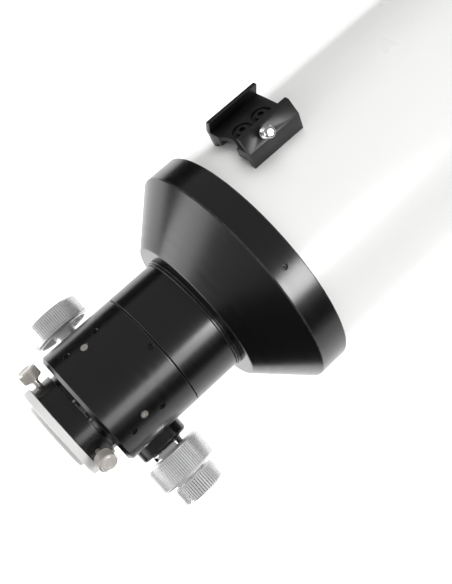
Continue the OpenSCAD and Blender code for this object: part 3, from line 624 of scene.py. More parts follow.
def lathe(name, rows, place=OPTICAL, segments=192, closed=True, shape=None):
    """Surface of revolution: (along, radius) carried round the axis of place.

    At turn t the point is origin + along * A + radius * (sin t * S + cos t * T), with A, S and T
    the rows of place. shape(radius, weight, t, along) may lower the radius round the turn, as ribs
    do; how far it does so is kept on the points as groove, from nothing to one.
    A profile that isn't closed starts and ends on the axis, and its two ends become single points.
    """
    along, radius, edge, weight = softened(rows, closed)
    # Rows of weight one, the rims of drilled holes, are marked as edge too, so their lighter colour
    # is a painted highlight.
    if shape is None:
        edge = np.maximum(edge, weight)
    t = np.linspace(0.0, 2 * np.pi, segments, endpoint=False) + np.pi
    plain = np.repeat(radius[:, None], segments, 1)
    r = plain if shape is None else shape(plain, weight[:, None], t[None, :], along[:, None])
    sunk = plain - r
    origin, (a, s, top) = place
    points = (origin + along[:, None, None] * a + (r * np.sin(t))[..., None] * s
              + (r * np.cos(t))[..., None] * top) * MM
    station = np.r_[0.0, np.cumsum(np.hypot(np.diff(along), np.diff(radius)))] * MM
    mesh = mesh_from_grid(name, points, station, edge, closed)
    # The groove number is where the finishes darken the colour as painted shade.
    mark = mesh.attributes.new("groove", "FLOAT", "POINT")
    mark.data.foreach_set("value", (sunk / max(sunk.max(), 1e-6)).ravel())
    if not closed:
        work = bmesh.new()
        work.from_mesh(mesh)
        work.verts.ensure_lookup_table()
        poles = list(work.verts[:segments]) + list(work.verts[-segments:])
        bmesh.ops.remove_doubles(work, verts=poles, dist=WELD)
        work.to_mesh(mesh)
        work.free()
    shade(mesh)
    return new_object(name, mesh)


# %% [markdown]
# Holes and pockets are cut with exact booleans. Each cutter is itself turned or extruded, with a
# small countersink where it meets the surface, because a drilled hole is always deburred, and that
# bright little ring is what the eye finds first. The ring is also marked as an edge, so its colour is
# lightened as a painted highlight.

# %% Cutting and joining


def combine(piece, tools, operation="DIFFERENCE"):
    """Apply one boolean for each tool to a piece, then throw the tools away."""
    for tool in tools:
        change = piece.modifiers.new(operation.lower(), "BOOLEAN")
        change.operation = operation
        change.solver = "EXACT"
        change.object = tool
        old, mesh = piece.data, baked(piece)
        piece.modifiers.clear()
        piece.data = mesh
        bpy.data.meshes.remove(old)
        bpy.data.objects.remove(tool)
    piece.data.materials.clear()
    shade(piece.data)


def bore(radius, low, high, place=OPTICAL, segments=128):
    """Plain cylindrical cutter along an axis."""
    return lathe("bore", [(low, 0), (low, radius), (high, radius), (high, 0)], place, segments,
                 closed=False)


def countersunk(radius, low, face, sink, place, segments=48):
    """Cutter for a hole whose chamfered rim, where it leaves the surface at face, is an edge."""
    # The rim rows have weight one, so the rim is marked as edge and its colour lightened as a painted
    # highlight.
    return lathe("countersunk", [
        (low, 0), (low, radius), (face - sink - 0.05, radius), (face - sink, radius, 0, 1),
        (face + 1, radius + sink + 1, 0, 1), (face + 1, 0)], place, segments, closed=False)


def block(centre, size, turn=0.0, corner=0.0, steps=6):
    """Upright box with rounded corners, turned about X by an angle from the top to the left.

    The outline is a quarter circle carried to each corner; two copies of it, low and high, are
    closed by a fan at each end.
    """
    half = np.array(size, float) / 2
    corner = max(corner, 0.01)
    q = np.linspace(0, np.pi / 2, steps)
    quarters = [(sx * (half[0] - corner) + corner * np.cos(q + k * np.pi / 2),
                 sy * (half[1] - corner) + corner * np.sin(q + k * np.pi / 2))
                for k, (sx, sy) in enumerate(((1, 1), (-1, 1), (-1, -1), (1, -1)))]
    outline = np.hstack([np.array(pair) for pair in quarters]).T
    levels = np.array([-half[2], -half[2], half[2], half[2]])
    scale = np.array([0.0, 1.0, 1.0, 0.0])
    grid = np.zeros((4, len(outline), 3))
    grid[..., :2] = outline[None] * scale[:, None, None]
    grid[..., 2] = levels[:, None]
    a = math.radians(turn)
    spin = np.array([[1, 0, 0], [0, math.cos(a), math.sin(a)], [0, -math.sin(a), math.cos(a)]])
    grid = (grid @ spin.T + np.array(centre, float)) * MM
    mesh = mesh_from_grid("block", grid, np.zeros(4), np.zeros(4), False)
    work = bmesh.new()
    work.from_mesh(mesh)
    bmesh.ops.remove_doubles(work, verts=work.verts, dist=WELD)
    bmesh.ops.recalc_face_normals(work, faces=work.faces)
    work.to_mesh(mesh)
    work.free()
    return new_object("block", mesh)


# %% Handing a piece over


def settle(piece, material, body, slot, *replaced):
    """Give a piece its finish and its body, hide the nodes it stands for, and say its size; slot is
    not used.
    """
    piece.data.materials.clear()
    piece.data.materials.append(material)
    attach(piece, body)
    if replaced:
        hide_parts(*replaced)
    print(piece.name, len(piece.data.polygons), "faces,", body)


# %% [markdown]
# ## The main tube
# A rolled aluminium tube, 162 mm across, sprayed in gloss white lacquer. It is one wall carried
# round the axis. Only its rear end is looked at closely, where it disappears into the tail ring.

# %% Main tube
TUBE_WALL = 2.0
tube_rear, tube_front = ends("main_tube")
tube = lathe("tube_shell", [
    (tube_rear, TUBE_R, 0.2), (tube_front, TUBE_R, 0.4),
    (tube_front, TUBE_R - TUBE_WALL, 0.4), (tube_rear, TUBE_R - TUBE_WALL, 0.2)], segments=256)
settle(tube, white_lacquer, "tube", "white_paint", "main_tube")

# %% [markdown]
# ## The tail piece
# One aluminium casting, turned all over and anodised black: a ring that caps the tube, and a cone
# that brings 171 mm down to 108 mm. Three set screws hold it to the tube. Its edges are broken by
# about half a millimetre, and the rear face is faced flat.

# %% Tail ring and cone
RING_L = 20.7
SOCKET_L = 14.0
CONE_END_R = 54.2
THREAD_R = 40.0
ring_r = across("tail_cone")
ring_rear = TAIL_FRONT - RING_L
tail = lathe("tail_piece", [
    (TAIL_FRONT, TUBE_R + 0.02), (TAIL_FRONT, ring_r, 0.7), (ring_rear, ring_r, 0.6),
    (TAIL_REAR, CONE_END_R, 0.7), (TAIL_REAR, THREAD_R + 0.05, 0.3),
    (TAIL_REAR + 12, THREAD_R + 0.05), (TAIL_REAR + 14, THREAD_R + 2),
    (ring_rear, TUBE_R - 6), (TAIL_FRONT - SOCKET_L, TUBE_R - 6),
    (TAIL_FRONT - SOCKET_L, TUBE_R + 0.02)], segments=360)
TAIL_SCREW_X = TAIL_FRONT - 11.1
TAIL_SCREW_FIRST = -13.3
combine(tail, [countersunk(1.65, 70, ring_r, 0.35, radial_frame(
    TAIL_SCREW_X, TAIL_SCREW_FIRST + 120 * k), 40) for k in range(3)])
settle(tail, black_turned, "tube", "black_anodised", "tail_cone")

# %% [markdown]
# ## Lock ring, collar and turning body
# Behind the cone sit a thin lock ring with a groove, a collar that stays still, and a body that
# turns on it. The fine gap between collar and body is the joint. Each has a narrow broken edge that
# catches a thread of light.

# %% Lock ring and collar
NUT_R = across("lock_ring")
nut_rear, nut_front = ends("lock_ring")
nut = lathe("lock_ring_turned", [
    (nut_front - 0.02, THREAD_R + 0.05), (nut_front - 0.02, NUT_R, 0.25),
    (nut_rear + 2.3, NUT_R, 0.2), (nut_rear + 2.0, NUT_R - 0.6, 0.1),
    (nut_rear + 1.6, NUT_R - 0.6, 0.1), (nut_rear + 1.3, NUT_R, 0.2), (nut_rear, NUT_R, 0.35),
    (nut_rear, THREAD_R + 0.05)],
    segments=256)
settle(nut, black_turned, "tube", "black_anodised", "lock_ring")

NECK_R = 36.0
SPIGOT_R = 38.0
PARTING = 0.8
collar_low, collar_front = ends("focuser_collar")
collar_rear = BODY_FRONT + PARTING
collar = lathe("collar_turned", [
    (collar_front, NECK_R, 0.3), (collar_front, THREAD_R, 0.3), (nut_rear, THREAD_R),
    (nut_rear, BODY_R, 0.35), (collar_rear, BODY_R, 0.3), (collar_rear, SPIGOT_R),
    (collar_low, SPIGOT_R, 0.3), (collar_low, NECK_R - 1, 0.3), (collar_rear, NECK_R - 1),
    (collar_rear + 1, NECK_R)], segments=256)
settle(collar, black_turned, "tube", "black_anodised", "focuser_collar")

# %% [markdown]
# ### The turning body
# A thick tube with a square housing for the drive let in underneath. It is joined and cut in the
# order in which it would be machined: turn the outside, add the housing, bore it, then drill the
# holes for the bearing bars, their set screws and the shaft.

# %% Body: outside and housing
BODY_CHAMFER = 2.2
CORE_R = 33.0
DRAW_R = across("drawtube")
PLATE_TOP = ends("base_plate", 2)[1]
HOUSING_X, HOUSING_Y, HOUSING_TOP = 44.0, 58.0, -20.0
body = lathe("body_turned", [
    (BODY_FRONT, 0), (BODY_FRONT, BODY_R, 0.3), (BODY_REAR + BODY_CHAMFER, BODY_R, 0.2),
    (BODY_REAR, BODY_R - BODY_CHAMFER, 0.2), (BODY_REAR, 0)], segments=256, closed=False)
combine(body, [block((SHAFT_X, 0, (HOUSING_TOP + PLATE_TOP) / 2),
                     (HOUSING_X, HOUSING_Y, HOUSING_TOP - PLATE_TOP), corner=4.0)], "UNION")

# %% Body: bores and holes
BAR_ANGLE = 43.4
BAR_REACH = 11.4
BAR_AT, BAR_POCKET = 30.25, (34.6, 14.6, 20.5)
SET_SCREW_SIDE = 1.8
BAR_SCREW_SIDE = 3.2
SCREW_SEAT = BODY_R - 2
SHAFT_POCKET_Z, SHAFT_POCKET = -38.0, (20.6, 22.6, 26.0)
SHAFT_HOLE_R = 3.7
BUSH_BORE_R = 6.0
BUSH_L, BUSH_RIM_L = 9.0, 3.0
TURN_SCREW_X = BODY_FRONT + PARTING - 4.3


def bar_frame(side, x, shift):
    """Axis of a hole in a bearing bar: outwards at the bar's angle, shifted across the bar."""
    a = math.radians(side * BAR_ANGLE)
    out = np.array((0, math.sin(a), math.cos(a)))
    over = np.array((0, math.cos(a), -math.sin(a)))
    return axis_frame(np.array((x, 0, 0)) + over * shift, out, (1, 0, 0))


cutters = [bore(SPIGOT_R + 0.05, BODY_FRONT - 13.2, BODY_FRONT + 1),
           bore(CORE_R, BODY_REAR + 4.2, BODY_FRONT),
           bore(DRAW_R + 0.5, BODY_REAR - 1, BODY_FRONT)]
for side in (-1, 1):
    a = math.radians(side * BAR_ANGLE)
    cutters.append(block((SHAFT_X, math.sin(a) * BAR_AT, math.cos(a) * BAR_AT), BAR_POCKET,
                         turn=side * BAR_ANGLE))
    for end in (-1, 1):
        cutters.append(countersunk(2.0, 38, BODY_R, 0.4, bar_frame(
            side, SHAFT_X + end * BAR_REACH, side * SET_SCREW_SIDE)))
    bar_screw = bar_frame(side, SHAFT_X, -side * BAR_SCREW_SIDE)
    cutters += [bore(1.6, 38, 50, bar_screw, 32),
                countersunk(3.1, SCREW_SEAT, BODY_R, 0.3, bar_screw)]
FLANGE_Y = ends("reducer_flange", 1)[1]
FLANGE_R = across("reducer_flange", 0)
BUSH_R = across("shaft_bush", 0)
BUSH_Y = ends("shaft_bush", 1)[1] - BUSH_RIM_L
cutters += [countersunk(1.6, 36, BODY_R, 0.35, radial_frame(TURN_SCREW_X, 0)),
            block((SHAFT_X, 0, SHAFT_POCKET_Z), SHAFT_POCKET),
            bore(SHAFT_HOLE_R, -60, 60, TO_LEFT, 48),
            bore(FLANGE_R + 0.1, -FLANGE_Y, 80, TO_RIGHT),
            bore(BUSH_R + 0.2, BUSH_Y, 60, TO_LEFT, 96),
            bore(BUSH_BORE_R, BUSH_Y - BUSH_L, BUSH_Y + 1, TO_LEFT, 64)]
combine(body, cutters)
settle(body, black_turned, "focuser", "black_anodised", "focuser_body")

# %% [markdown]
# ## Drawtube and its scale
# The drawtube carries a millimetre scale along its top, engraved and filled with white. With the
# tube pushed home only its first lines show in the gap, between two noughts. The lines are thin
# curved strips and the numerals are flat type bent round the tube, both standing a hair proud.

# %% Drawtube
DRAW_IN = 27.4
STRIP_FLAT = ends("drive_strip", 2)[1]
draw = lathe("drawtube_turned", [
    (DRAW_REAR, DRAW_R, 0.2), (DRAW_FRONT, DRAW_R, 0.6), (DRAW_FRONT, DRAW_IN, 0.2),
    (DRAW_REAR, DRAW_IN)], segments=192)
combine(draw, [block(((DRAW_REAR + 4 + DRAW_FRONT + 1) / 2, 0, STRIP_FLAT - 20),
                     (DRAW_FRONT - DRAW_REAR - 3, 50, 40))])
settle(draw, black_turned, "drawtube", "black_anodised", "drawtube")

# %% Scale lines and numerals
SCALE_START = DRAW_REAR + 0.75
SCALE_LENGTH = 70
LINE_W = 0.26
LINE_STEPS = 25
PROUD = 0.03
TEN_HALF, FIVE_HALF, ONE_HALF = 10.5, 8.0, 5.2
NUMERAL_SIZE, NUMERAL_BOLD, NUMERAL_ANGLE = 2.6, 0.09, 14.4


def bent_strip(centre_x, half, width, lift):
    """Curved bar on the drawtube: grid over turn and section, closed round its section.

    Turn t runs from -half to half degrees; the section is a small rectangle of the strip's width
    and twice its lift, so that half of it is sunk in the tube.
    """
    t = np.radians(np.linspace(-half, half, LINE_STEPS))[:, None]
    section = np.array([(-1, -1), (1, -1), (1, 1), (-1, 1)], float)
    x = np.broadcast_to(centre_x + section[:, 0] * width / 2, (LINE_STEPS, 4))
    r = DRAW_R + section[:, 1] * lift
    ring = np.stack([x, r * np.sin(t), r * np.cos(t)], -1)
    first, last = ring[:1].mean(1, keepdims=True), ring[-1:].mean(1, keepdims=True)
    return np.concatenate([np.repeat(first, 4, 1), ring, np.repeat(last, 4, 1)]) * MM


def numeral(text, angle, x):
    """Numeral bent round the drawtube: flat type, y laid along the turn, then rolled to radius."""
    data = bpy.data.curves.new("numeral", "FONT")
    data.body = text
    data.size = NUMERAL_SIZE
    data.offset = NUMERAL_BOLD
    data.extrude = PROUD
    data.align_x = "CENTER"
    data.align_y = "CENTER"
    data.resolution_u = 3
    holder = new_object("numeral", data)
    mesh = baked(holder)
    co = np.empty(len(mesh.vertices) * 3)
    mesh.vertices.foreach_get("co", co)
    co = co.reshape(-1, 3)
    t = math.radians(angle) - co[:, 0] / DRAW_R
    r = DRAW_R + co[:, 2]
    rolled = np.stack([x + co[:, 1], r * np.sin(t), r * np.cos(t)], -1) * MM
    mesh.vertices.foreach_set("co", rolled.ravel())
    bpy.data.objects.remove(holder)
    bpy.data.curves.remove(data)
    return mesh


parts = []
for step in range(SCALE_LENGTH + 1):
    half = TEN_HALF if step % 10 == 0 else FIVE_HALF if step % 5 == 0 else ONE_HALF
    grid = bent_strip(SCALE_START + step, half, LINE_W, PROUD)
    parts.append(mesh_from_grid("line", grid, np.zeros(len(grid)), np.zeros(len(grid)), False))
scale = bmesh.new()
for part in parts:
    scale.from_mesh(part)
bmesh.ops.remove_doubles(scale, verts=scale.verts, dist=WELD)
for tens in range(0, SCALE_LENGTH + 1, 10):
    for side in (-1, 1):
        parts.append(numeral(str(tens), side * NUMERAL_ANGLE, SCALE_START + tens + 0.45))
        scale.from_mesh(parts[-1])
for part in parts:
    bpy.data.meshes.remove(part)
scale_mesh = bpy.data.meshes.new("drawtube_scale")
scale.to_mesh(scale_mesh)
scale.free()
scale_piece = new_object("drawtube_scale", scale_mesh)
settle(scale_piece, white_fill, "drawtube", "white_paint")

# %% [markdown]
# ## Eyepiece adapter, thumbscrews and dust cap
# The adapter is a short plain black ring. Three thumbscrews, a third of a turn apart, press a brass
# ring onto the eyepiece. A pale plastic cap keeps the dust out.

# %% Eyepiece adapter
ADAPTER_R = across("eyepiece_adapter")
SOCKET_R = 25.45
NOSE_END = ends("eyepiece_adapter")[1]
CLAMP_X = sum(ends("compression_ring")) / 2
CLAMP_W = 7.0
CLAMP_R = SOCKET_R + 2.1
SCREW_TILT = 10.0
SCREW_ANGLES = {"left": 60 + SCREW_TILT, "right": -60 + SCREW_TILT, "under": 180 + SCREW_TILT}
adapter = lathe("adapter_turned", [
    (NOSE_END, SOCKET_R, 0.2), (NOSE_END, DRAW_IN - 0.02, 0.2), (DRAW_REAR, DRAW_IN - 0.02),
    (DRAW_REAR, ADAPTER_R, 0.45), (ADAPTER_REAR, ADAPTER_R, 0.5),
    (ADAPTER_REAR, SOCKET_R, 0.5), (CLAMP_X - CLAMP_W / 2, SOCKET_R),
    (CLAMP_X - CLAMP_W / 2, CLAMP_R), (CLAMP_X + CLAMP_W / 2, CLAMP_R),
    (CLAMP_X + CLAMP_W / 2, SOCKET_R)], segments=256)
combine(adapter, [countersunk(2.05, 20, ADAPTER_R, 0.3, radial_frame(CLAMP_X, angle), 40)
                  for angle in SCREW_ANGLES.values()])
settle(adapter, black_turned, "drawtube", "black_anodised", "eyepiece_adapter")

# %% Dust cap
cap_rear, cap_front = ends("rear_dust_cap")
cap_r = across("rear_dust_cap")
PLUG_R = SOCKET_R - 0.25
BOSS_R = 24.0
cap = lathe("dust_cap", [
    (cap_rear + 0.5, 0), (cap_rear + 0.5, BOSS_R - 4, 0.3), (cap_rear, BOSS_R - 3, 0.4),
    (cap_rear, BOSS_R, 1.0), (cap_rear + 2.9, BOSS_R + 0.3, 0.5), (cap_rear + 2.9, cap_r, 1.1),
    (ADAPTER_REAR - 0.02, cap_r, 0.4), (ADAPTER_REAR - 0.02, PLUG_R, 0.2),
    (cap_front, PLUG_R, 0.6), (cap_front, PLUG_R - 2, 0.4),
    (ADAPTER_REAR - 3, PLUG_R - 2.3, 0.6), (ADAPTER_REAR - 3, 0)],
    segments=192, closed=False)
settle(cap, cap_moulded, "rear_cap", "cap_plastic", "rear_dust_cap")

# %% [markdown]
# ### Ribs and knurls
# A ribbed rim is the same profile with its radius pulled in at even turns. The groove function is a
# cosine raised and clipped, so that the lands between grooves stay wide and flat. A knurl is two
# families of fine grooves that cross. Their weight comes from the profile, so that ribs and knurls
# end cleanly at a plain rim.

# %% Ribs and knurls
KNURL_DEPTH, KNURL_PITCH = 0.34, 1.15


def ribs(count, depth, width):
    """Radius function: count grooves of a depth, each taking up a share width of the pitch.

    With c = cos(pi * width), the radius is lowered by
    depth * sqrt(max(0, (cos(count * t) - c) / (1 - c))).
    """
    land = math.cos(math.pi * width)

    def shape(radius, weight, t, along):
        wave = np.clip((np.cos(t * count) - land) / (1 - land), 0.0, 1.0)
        return radius - depth * weight * np.sqrt(wave)
    return shape


def diamonds(count, depth, pitch):
    """Radius function of a diamond knurl: two families of V grooves that wind opposite ways.

    With k = count * t / (2 pi) and s = along / pitch, the radius is lowered by
    depth * max(0, 1 - 3 * min(d(k + s), d(k - s))), where d is the distance to a whole number.
    """
    def shape(radius, weight, t, along):
        k, s = t * count / (2 * np.pi), along / pitch
        away = np.minimum(np.abs(k + s - np.round(k + s)), np.abs(k - s - np.round(k - s)))
        return radius - depth * weight * np.clip(1 - 3.0 * away, 0.0, 1.0)
    return shape


def knurl_rows(low, high, radius, step=0.16):
    """Profile rows of a knurled band, close enough together to carry the diamonds."""
    return [(a, radius, 0.0, 1.0) for a in np.linspace(low, high, int((high - low) / step) + 2)]


def knurled_screw(name, place, rows, teeth=38):
    """Thumbscrew: one profile from tip to head, knurled where the rows' weight is one."""
    return lathe(name, rows, place, teeth * 8, closed=False,
                 shape=diamonds(teeth, KNURL_DEPTH, KNURL_PITCH))


# %% Adapter thumbscrews
HEAD_R = 6.5
HEAD_LOW, HEAD_HIGH = 38.0, 45.6
for side, angle in SCREW_ANGLES.items():
    node = "adapter_screw_" + side
    screw = knurled_screw("adapter_thumbscrew_" + side, radial_frame(CLAMP_X, angle), [
        (CLAMP_R + 0.05, 0), (CLAMP_R + 0.05, 2, 0.4), (HEAD_LOW - 1.6, 2, 0.2),
        (HEAD_LOW - 1.6, 2.9, 0.2), (HEAD_LOW, 3.1, 0.2), (HEAD_LOW, HEAD_R - 0.35, 0.3),
        (HEAD_LOW + 0.4, HEAD_R, 0.1), *knurl_rows(HEAD_LOW + 0.6, HEAD_HIGH - 1.2, HEAD_R),
        (HEAD_HIGH - 1.0, HEAD_R, 0.1), (HEAD_HIGH, HEAD_R - 0.95, 0.15),
        (HEAD_HIGH, HEAD_R - 1.3, 0.1), (HEAD_HIGH - 0.3, HEAD_R - 1.6, 0.1),
        (HEAD_HIGH - 0.3, 3.2, 0.1), (HEAD_HIGH - 0.45, 3.0, 0.1), (HEAD_HIGH - 0.45, 0)])
    settle(screw, nickel_turned, node, "nickel", node)

# %% Drive thumbscrews under the housing
UNDER_R = 5.5
UNDER_LOW = -(PLATE_TOP - 2.5) + 2.2
for node in ("tension_screw", "lock_screw"):
    under, tip = (-v for v in ends(node, 2))
    place = axis_frame((sum(ends(node)) / 2, 0, 0), (0, 0, -1), (1, 0, 0))
    screw = knurled_screw(node + "_turned", place, [
        (tip, 0), (tip, 2, 0.3), (UNDER_LOW - 1.6, 2, 0.2), (UNDER_LOW - 1.6, 3.2, 0.2),
        (UNDER_LOW, 3.2, 0.2), (UNDER_LOW, UNDER_R - 0.3, 0.2), (UNDER_LOW + 0.5, UNDER_R, 0.1),
        *knurl_rows(UNDER_LOW + 0.7, under - 0.9, UNDER_R), (under - 0.7, UNDER_R, 0.1),
        (under, 4.9, 0.2), (under, 4.2, 0.2), (under - 0.4, 3.8, 0.2), (under - 0.4, 0)], teeth=32)
    settle(screw, nickel_turned, node, "nickel", node)

# %% [markdown]
# ## The two-speed drive
# One shaft crosses the body. On the left sits a hollow coarse knob, on the right the reducer's
# black flange, a polished hub, a second coarse knob, and the small fine knob that turns ten times
# as fast. The knobs are aluminium, with ribs cut between a plain rim and a chamfer.

# %% Coarse knobs
RIBS = 84
RIM = 1.4
KNOB_RIBS = ribs(RIBS, 0.6, 0.25)


def right_ends(node):
    """Distances to the right at which a node on the drive's right side starts and stops."""
    return tuple(-v for v in reversed(ends(node, 1)))


def ribbed_rim(start, stop, radius):
    """Profile rows of a ribbed band from start to stop: a plain rim and a fine groove at the start.

    At the other end the ribs run out into the chamfer.
    """
    rim, chamfer = start + RIM, stop - RIM
    return [(start, radius - RIM, 0.15), (rim, radius, 0.15), (rim + 0.3, radius, 0.05),
            (rim + 0.4, radius - 0.75, 0.05), (rim + 0.9, radius - 0.75, 0.05),
            (rim + 1.0, radius - 0.1, 0, 1), (rim + 1.1, radius, 0, 1),
            (chamfer, radius, 0, 1), (chamfer + 0.5, radius - 0.5, 0, 1),
            (chamfer + 0.62, radius - 0.62, 0, 0), (stop, radius - RIM, 0.15)]


left_in, left_out = ends("coarse_knob_left", 1)
LEFT_R = across("coarse_knob_left", 0)
RIM_LENGTH = 15.3
RIM_WALL = 3.4
LEFT_HUB_R = 8.2
SHAFT_R = 3.175
knob_in = left_out - RIM_LENGTH
web = left_out - 5.3
left_knob = lathe("coarse_knob_left_ribbed", [
    (web, 0), (web, SHAFT_R), (left_in, SHAFT_R, 0.2), (left_in, LEFT_HUB_R, 0.4),
    (web, LEFT_HUB_R, 0.5), (web, LEFT_R - RIM_WALL, 0.8), (knob_in, LEFT_R - RIM_WALL, 0.4),
    *ribbed_rim(knob_in, left_out, LEFT_R),
    (left_out, 15.2, 0.2), (left_out - 0.7, 14.2, 0.3), (left_out - 0.7, 6, 0.2),
    (left_out - 0.2, 5.4, 0.2), (left_out - 0.2, 0)],
    TO_LEFT, RIBS * 8, closed=False, shape=KNOB_RIBS)
combine(left_knob, [lathe("set_hole", [(0, 0), (0, 1.5), (12, 1.5), (12, 0)], axis_frame(
    (SHAFT_X, left_in + 5, SHAFT_Z), (0, 0, 1), (1, 0, 0)), 32, closed=False)])
settle(left_knob, silver_turned, "coarse_drive", "silver_anodised", "coarse_knob_left")

KNOB_BORE_R = 8.0
HUB_BORE_R = 2.55
right_in, right_out = right_ends("coarse_knob_right")
RIGHT_R = across("coarse_knob_right", 0)
right_knob = lathe("coarse_knob_right_ribbed", [
    (right_in, KNOB_BORE_R), *ribbed_rim(right_in, right_out, RIGHT_R), (right_out, 14.4, 0.2),
    (right_out - 0.4, 13.6, 0.2), (right_out - 0.4, HUB_BORE_R, 0.1),
    (right_out - 2, HUB_BORE_R), (right_out - 2, KNOB_BORE_R)],
    TO_RIGHT, RIBS * 8, shape=KNOB_RIBS)
settle(right_knob, silver_turned, "coarse_drive", "silver_anodised", "coarse_knob_right")

# %% Fine knob
FINE_RIBS = 54
fine_in, fine_out = right_ends("fine_knob")
FINE_R = across("fine_knob", 0)
FINE_START = 78.6
FINE_NECK_R = FINE_R - 3
fine = lathe("fine_knob_ribbed", [
    (fine_out - 3, 0), (fine_out - 3, 2.5), (fine_in, 2.5), (fine_in, FINE_NECK_R, 0.2),
    (FINE_START, FINE_NECK_R, 0.2), (FINE_START, FINE_R - 1.2, 0.15),
    (FINE_START + 1.0, FINE_R, 0.1), (FINE_START + 1.2, FINE_R, 0, 1),
    (fine_out - 1.3, FINE_R, 0, 1), (fine_out - 0.2, FINE_R - 1.1, 0, 1),
    (fine_out, FINE_R - 1.6, 0.1), (fine_out, 10, 0.2), (fine_out - 0.6, 9.2, 0.2),
    (fine_out - 0.6, 0)],
    TO_RIGHT, FINE_RIBS * 10, closed=False, shape=ribs(FINE_RIBS, 0.65, 0.26))
settle(fine, silver_turned, "fine_drive", "silver_anodised", "fine_knob")

# %% Flange, hub and bush
flange_start, collar_end = right_ends("reducer_flange")
flange_face = collar_end - 0.8
COLLAR_R = 12.0
CAVITY_R = 11.5
NECK_BORE_R = 6.05
SHAFT_CLEAR_R = 3.225
SCREW_RING_R = 14.4
SEAT_R = 2.5
SEAT_DEPTH = 1.6
flange = lathe("reducer_flange_turned", [
    (flange_start, SHAFT_CLEAR_R), (flange_start, FLANGE_R, 0.5),
    (flange_face - 1.2, FLANGE_R, 0.15), (flange_face, FLANGE_R - 1.2, 0.15),
    (flange_face, COLLAR_R, 0.2), (collar_end, COLLAR_R, 0.4), (collar_end, NECK_BORE_R, 0.1),
    (flange_face - 3, NECK_BORE_R), (flange_face - 3, CAVITY_R), (flange_start + 3, CAVITY_R),
    (flange_start + 3, SHAFT_CLEAR_R)], TO_RIGHT, 224)
holes = []
for k in range(4):
    turn = math.radians(45 + 90 * k)
    at = (SHAFT_X + SCREW_RING_R * math.cos(turn), 0, SHAFT_Z + SCREW_RING_R * math.sin(turn))
    holes.append(lathe("screw_hole", [
        (20, 0), (20, 1.6), (flange_face - SEAT_DEPTH, 1.6), (flange_face - SEAT_DEPTH, SEAT_R),
        (flange_face - 0.2, SEAT_R), (flange_face + 0.6, SEAT_R + 0.8), (flange_face + 0.6, 0)],
        axis_frame(at, (0, -1, 0)), 40, closed=False))
combine(flange, holes)
settle(flange, black_turned, "focuser", "black_anodised", "reducer_flange")

hub_start, hub_end = right_ends("drive_hub")
HUB_R = across("drive_hub", 0)
hub_in, hub_out = collar_end + 0.2, right_in
hub = lathe("hub_polished", [
    (hub_start, HUB_BORE_R), (hub_start, 6.0, 0.2), (hub_in, 6.0), (hub_in, HUB_R, 0.4),
    (hub_out - 0.02, HUB_R, 0.1), (hub_out - 0.02, KNOB_BORE_R - 0.02),
    (hub_end, KNOB_BORE_R - 0.02), (hub_end, HUB_BORE_R)], TO_RIGHT, 192)
combine(hub, [lathe("set_hole", [
    (0, 0), (0, 1.25), (12.7, 1.25), (13.3, 1.85), (13.3, 0)], axis_frame(
        (SHAFT_X, -hub_out + 1.8, SHAFT_Z), (0, 0, -1), (1, 0, 0)), 40, closed=False)])
settle(hub, bright_turned, "coarse_drive", "chrome", "drive_hub")

bush = lathe("shaft_bush_turned", [
    (BUSH_Y - BUSH_L, SHAFT_CLEAR_R, 0.2), (BUSH_Y - BUSH_L, BUSH_BORE_R, 0.3),
    (BUSH_Y, BUSH_BORE_R), (BUSH_Y, BUSH_R, 0.1), (BUSH_Y + BUSH_RIM_L, BUSH_R, 0.8),
    (BUSH_Y + BUSH_RIM_L, SHAFT_CLEAR_R, 0.3)], TO_LEFT, 160)
settle(bush, black_turned, "focuser", "black_anodised", "shaft_bush")

# %% [markdown]
# ## Finder shoe
# The shoe is milled from one bar: a dovetail channel with round seats for its two screws and a
# scalloped rear end. Its shape is already right in the model, and only its edges are too sharp. So
# a copy is cleaned of its triangles, and a narrow bevel breaks every edge, as a file would.

# %% A bevelled copy of a milled node
BEVEL_OVER = math.radians(25)
FLAT_WITHIN = math.radians(0.5)


def broken_edges(name, node, width):
    """Copy of a node with flat faces merged and edges bevelled by width millimetres."""
    work = bmesh.new()
    work.from_mesh(nodes[node].data)
    bmesh.ops.remove_doubles(work, verts=work.verts, dist=1e-6)
    bmesh.ops.dissolve_limit(work, angle_limit=FLAT_WITHIN, verts=work.verts, edges=work.edges)
    mesh = bpy.data.meshes.new(name)
    work.to_mesh(mesh)
    work.free()
    if "custom_normal" in mesh.attributes:
        mesh.attributes.remove(mesh.attributes["custom_normal"])
    piece = new_object(name, mesh)
    bevel = piece.modifiers.new("bevel", "BEVEL")
    bevel.width = width * MM
    bevel.segments = 2
    bevel.limit_method = "ANGLE"
    bevel.angle_limit = BEVEL_OVER
    bevel.use_clamp_overlap = True
    finished = baked(piece)
    piece.modifiers.clear()
    piece.data = finished
    bpy.data.meshes.remove(mesh)
    shade(finished)
    return piece


shoe = broken_edges("finder_shoe_milled", "finder_shoe", 0.2)
settle(shoe, black_blasted, "tube", "black_anodised", "finder_shoe")
plate = broken_edges("base_plate_milled", "base_plate", 0.3)
settle(plate, black_milled, "focuser", "black_anodised", "base_plate")

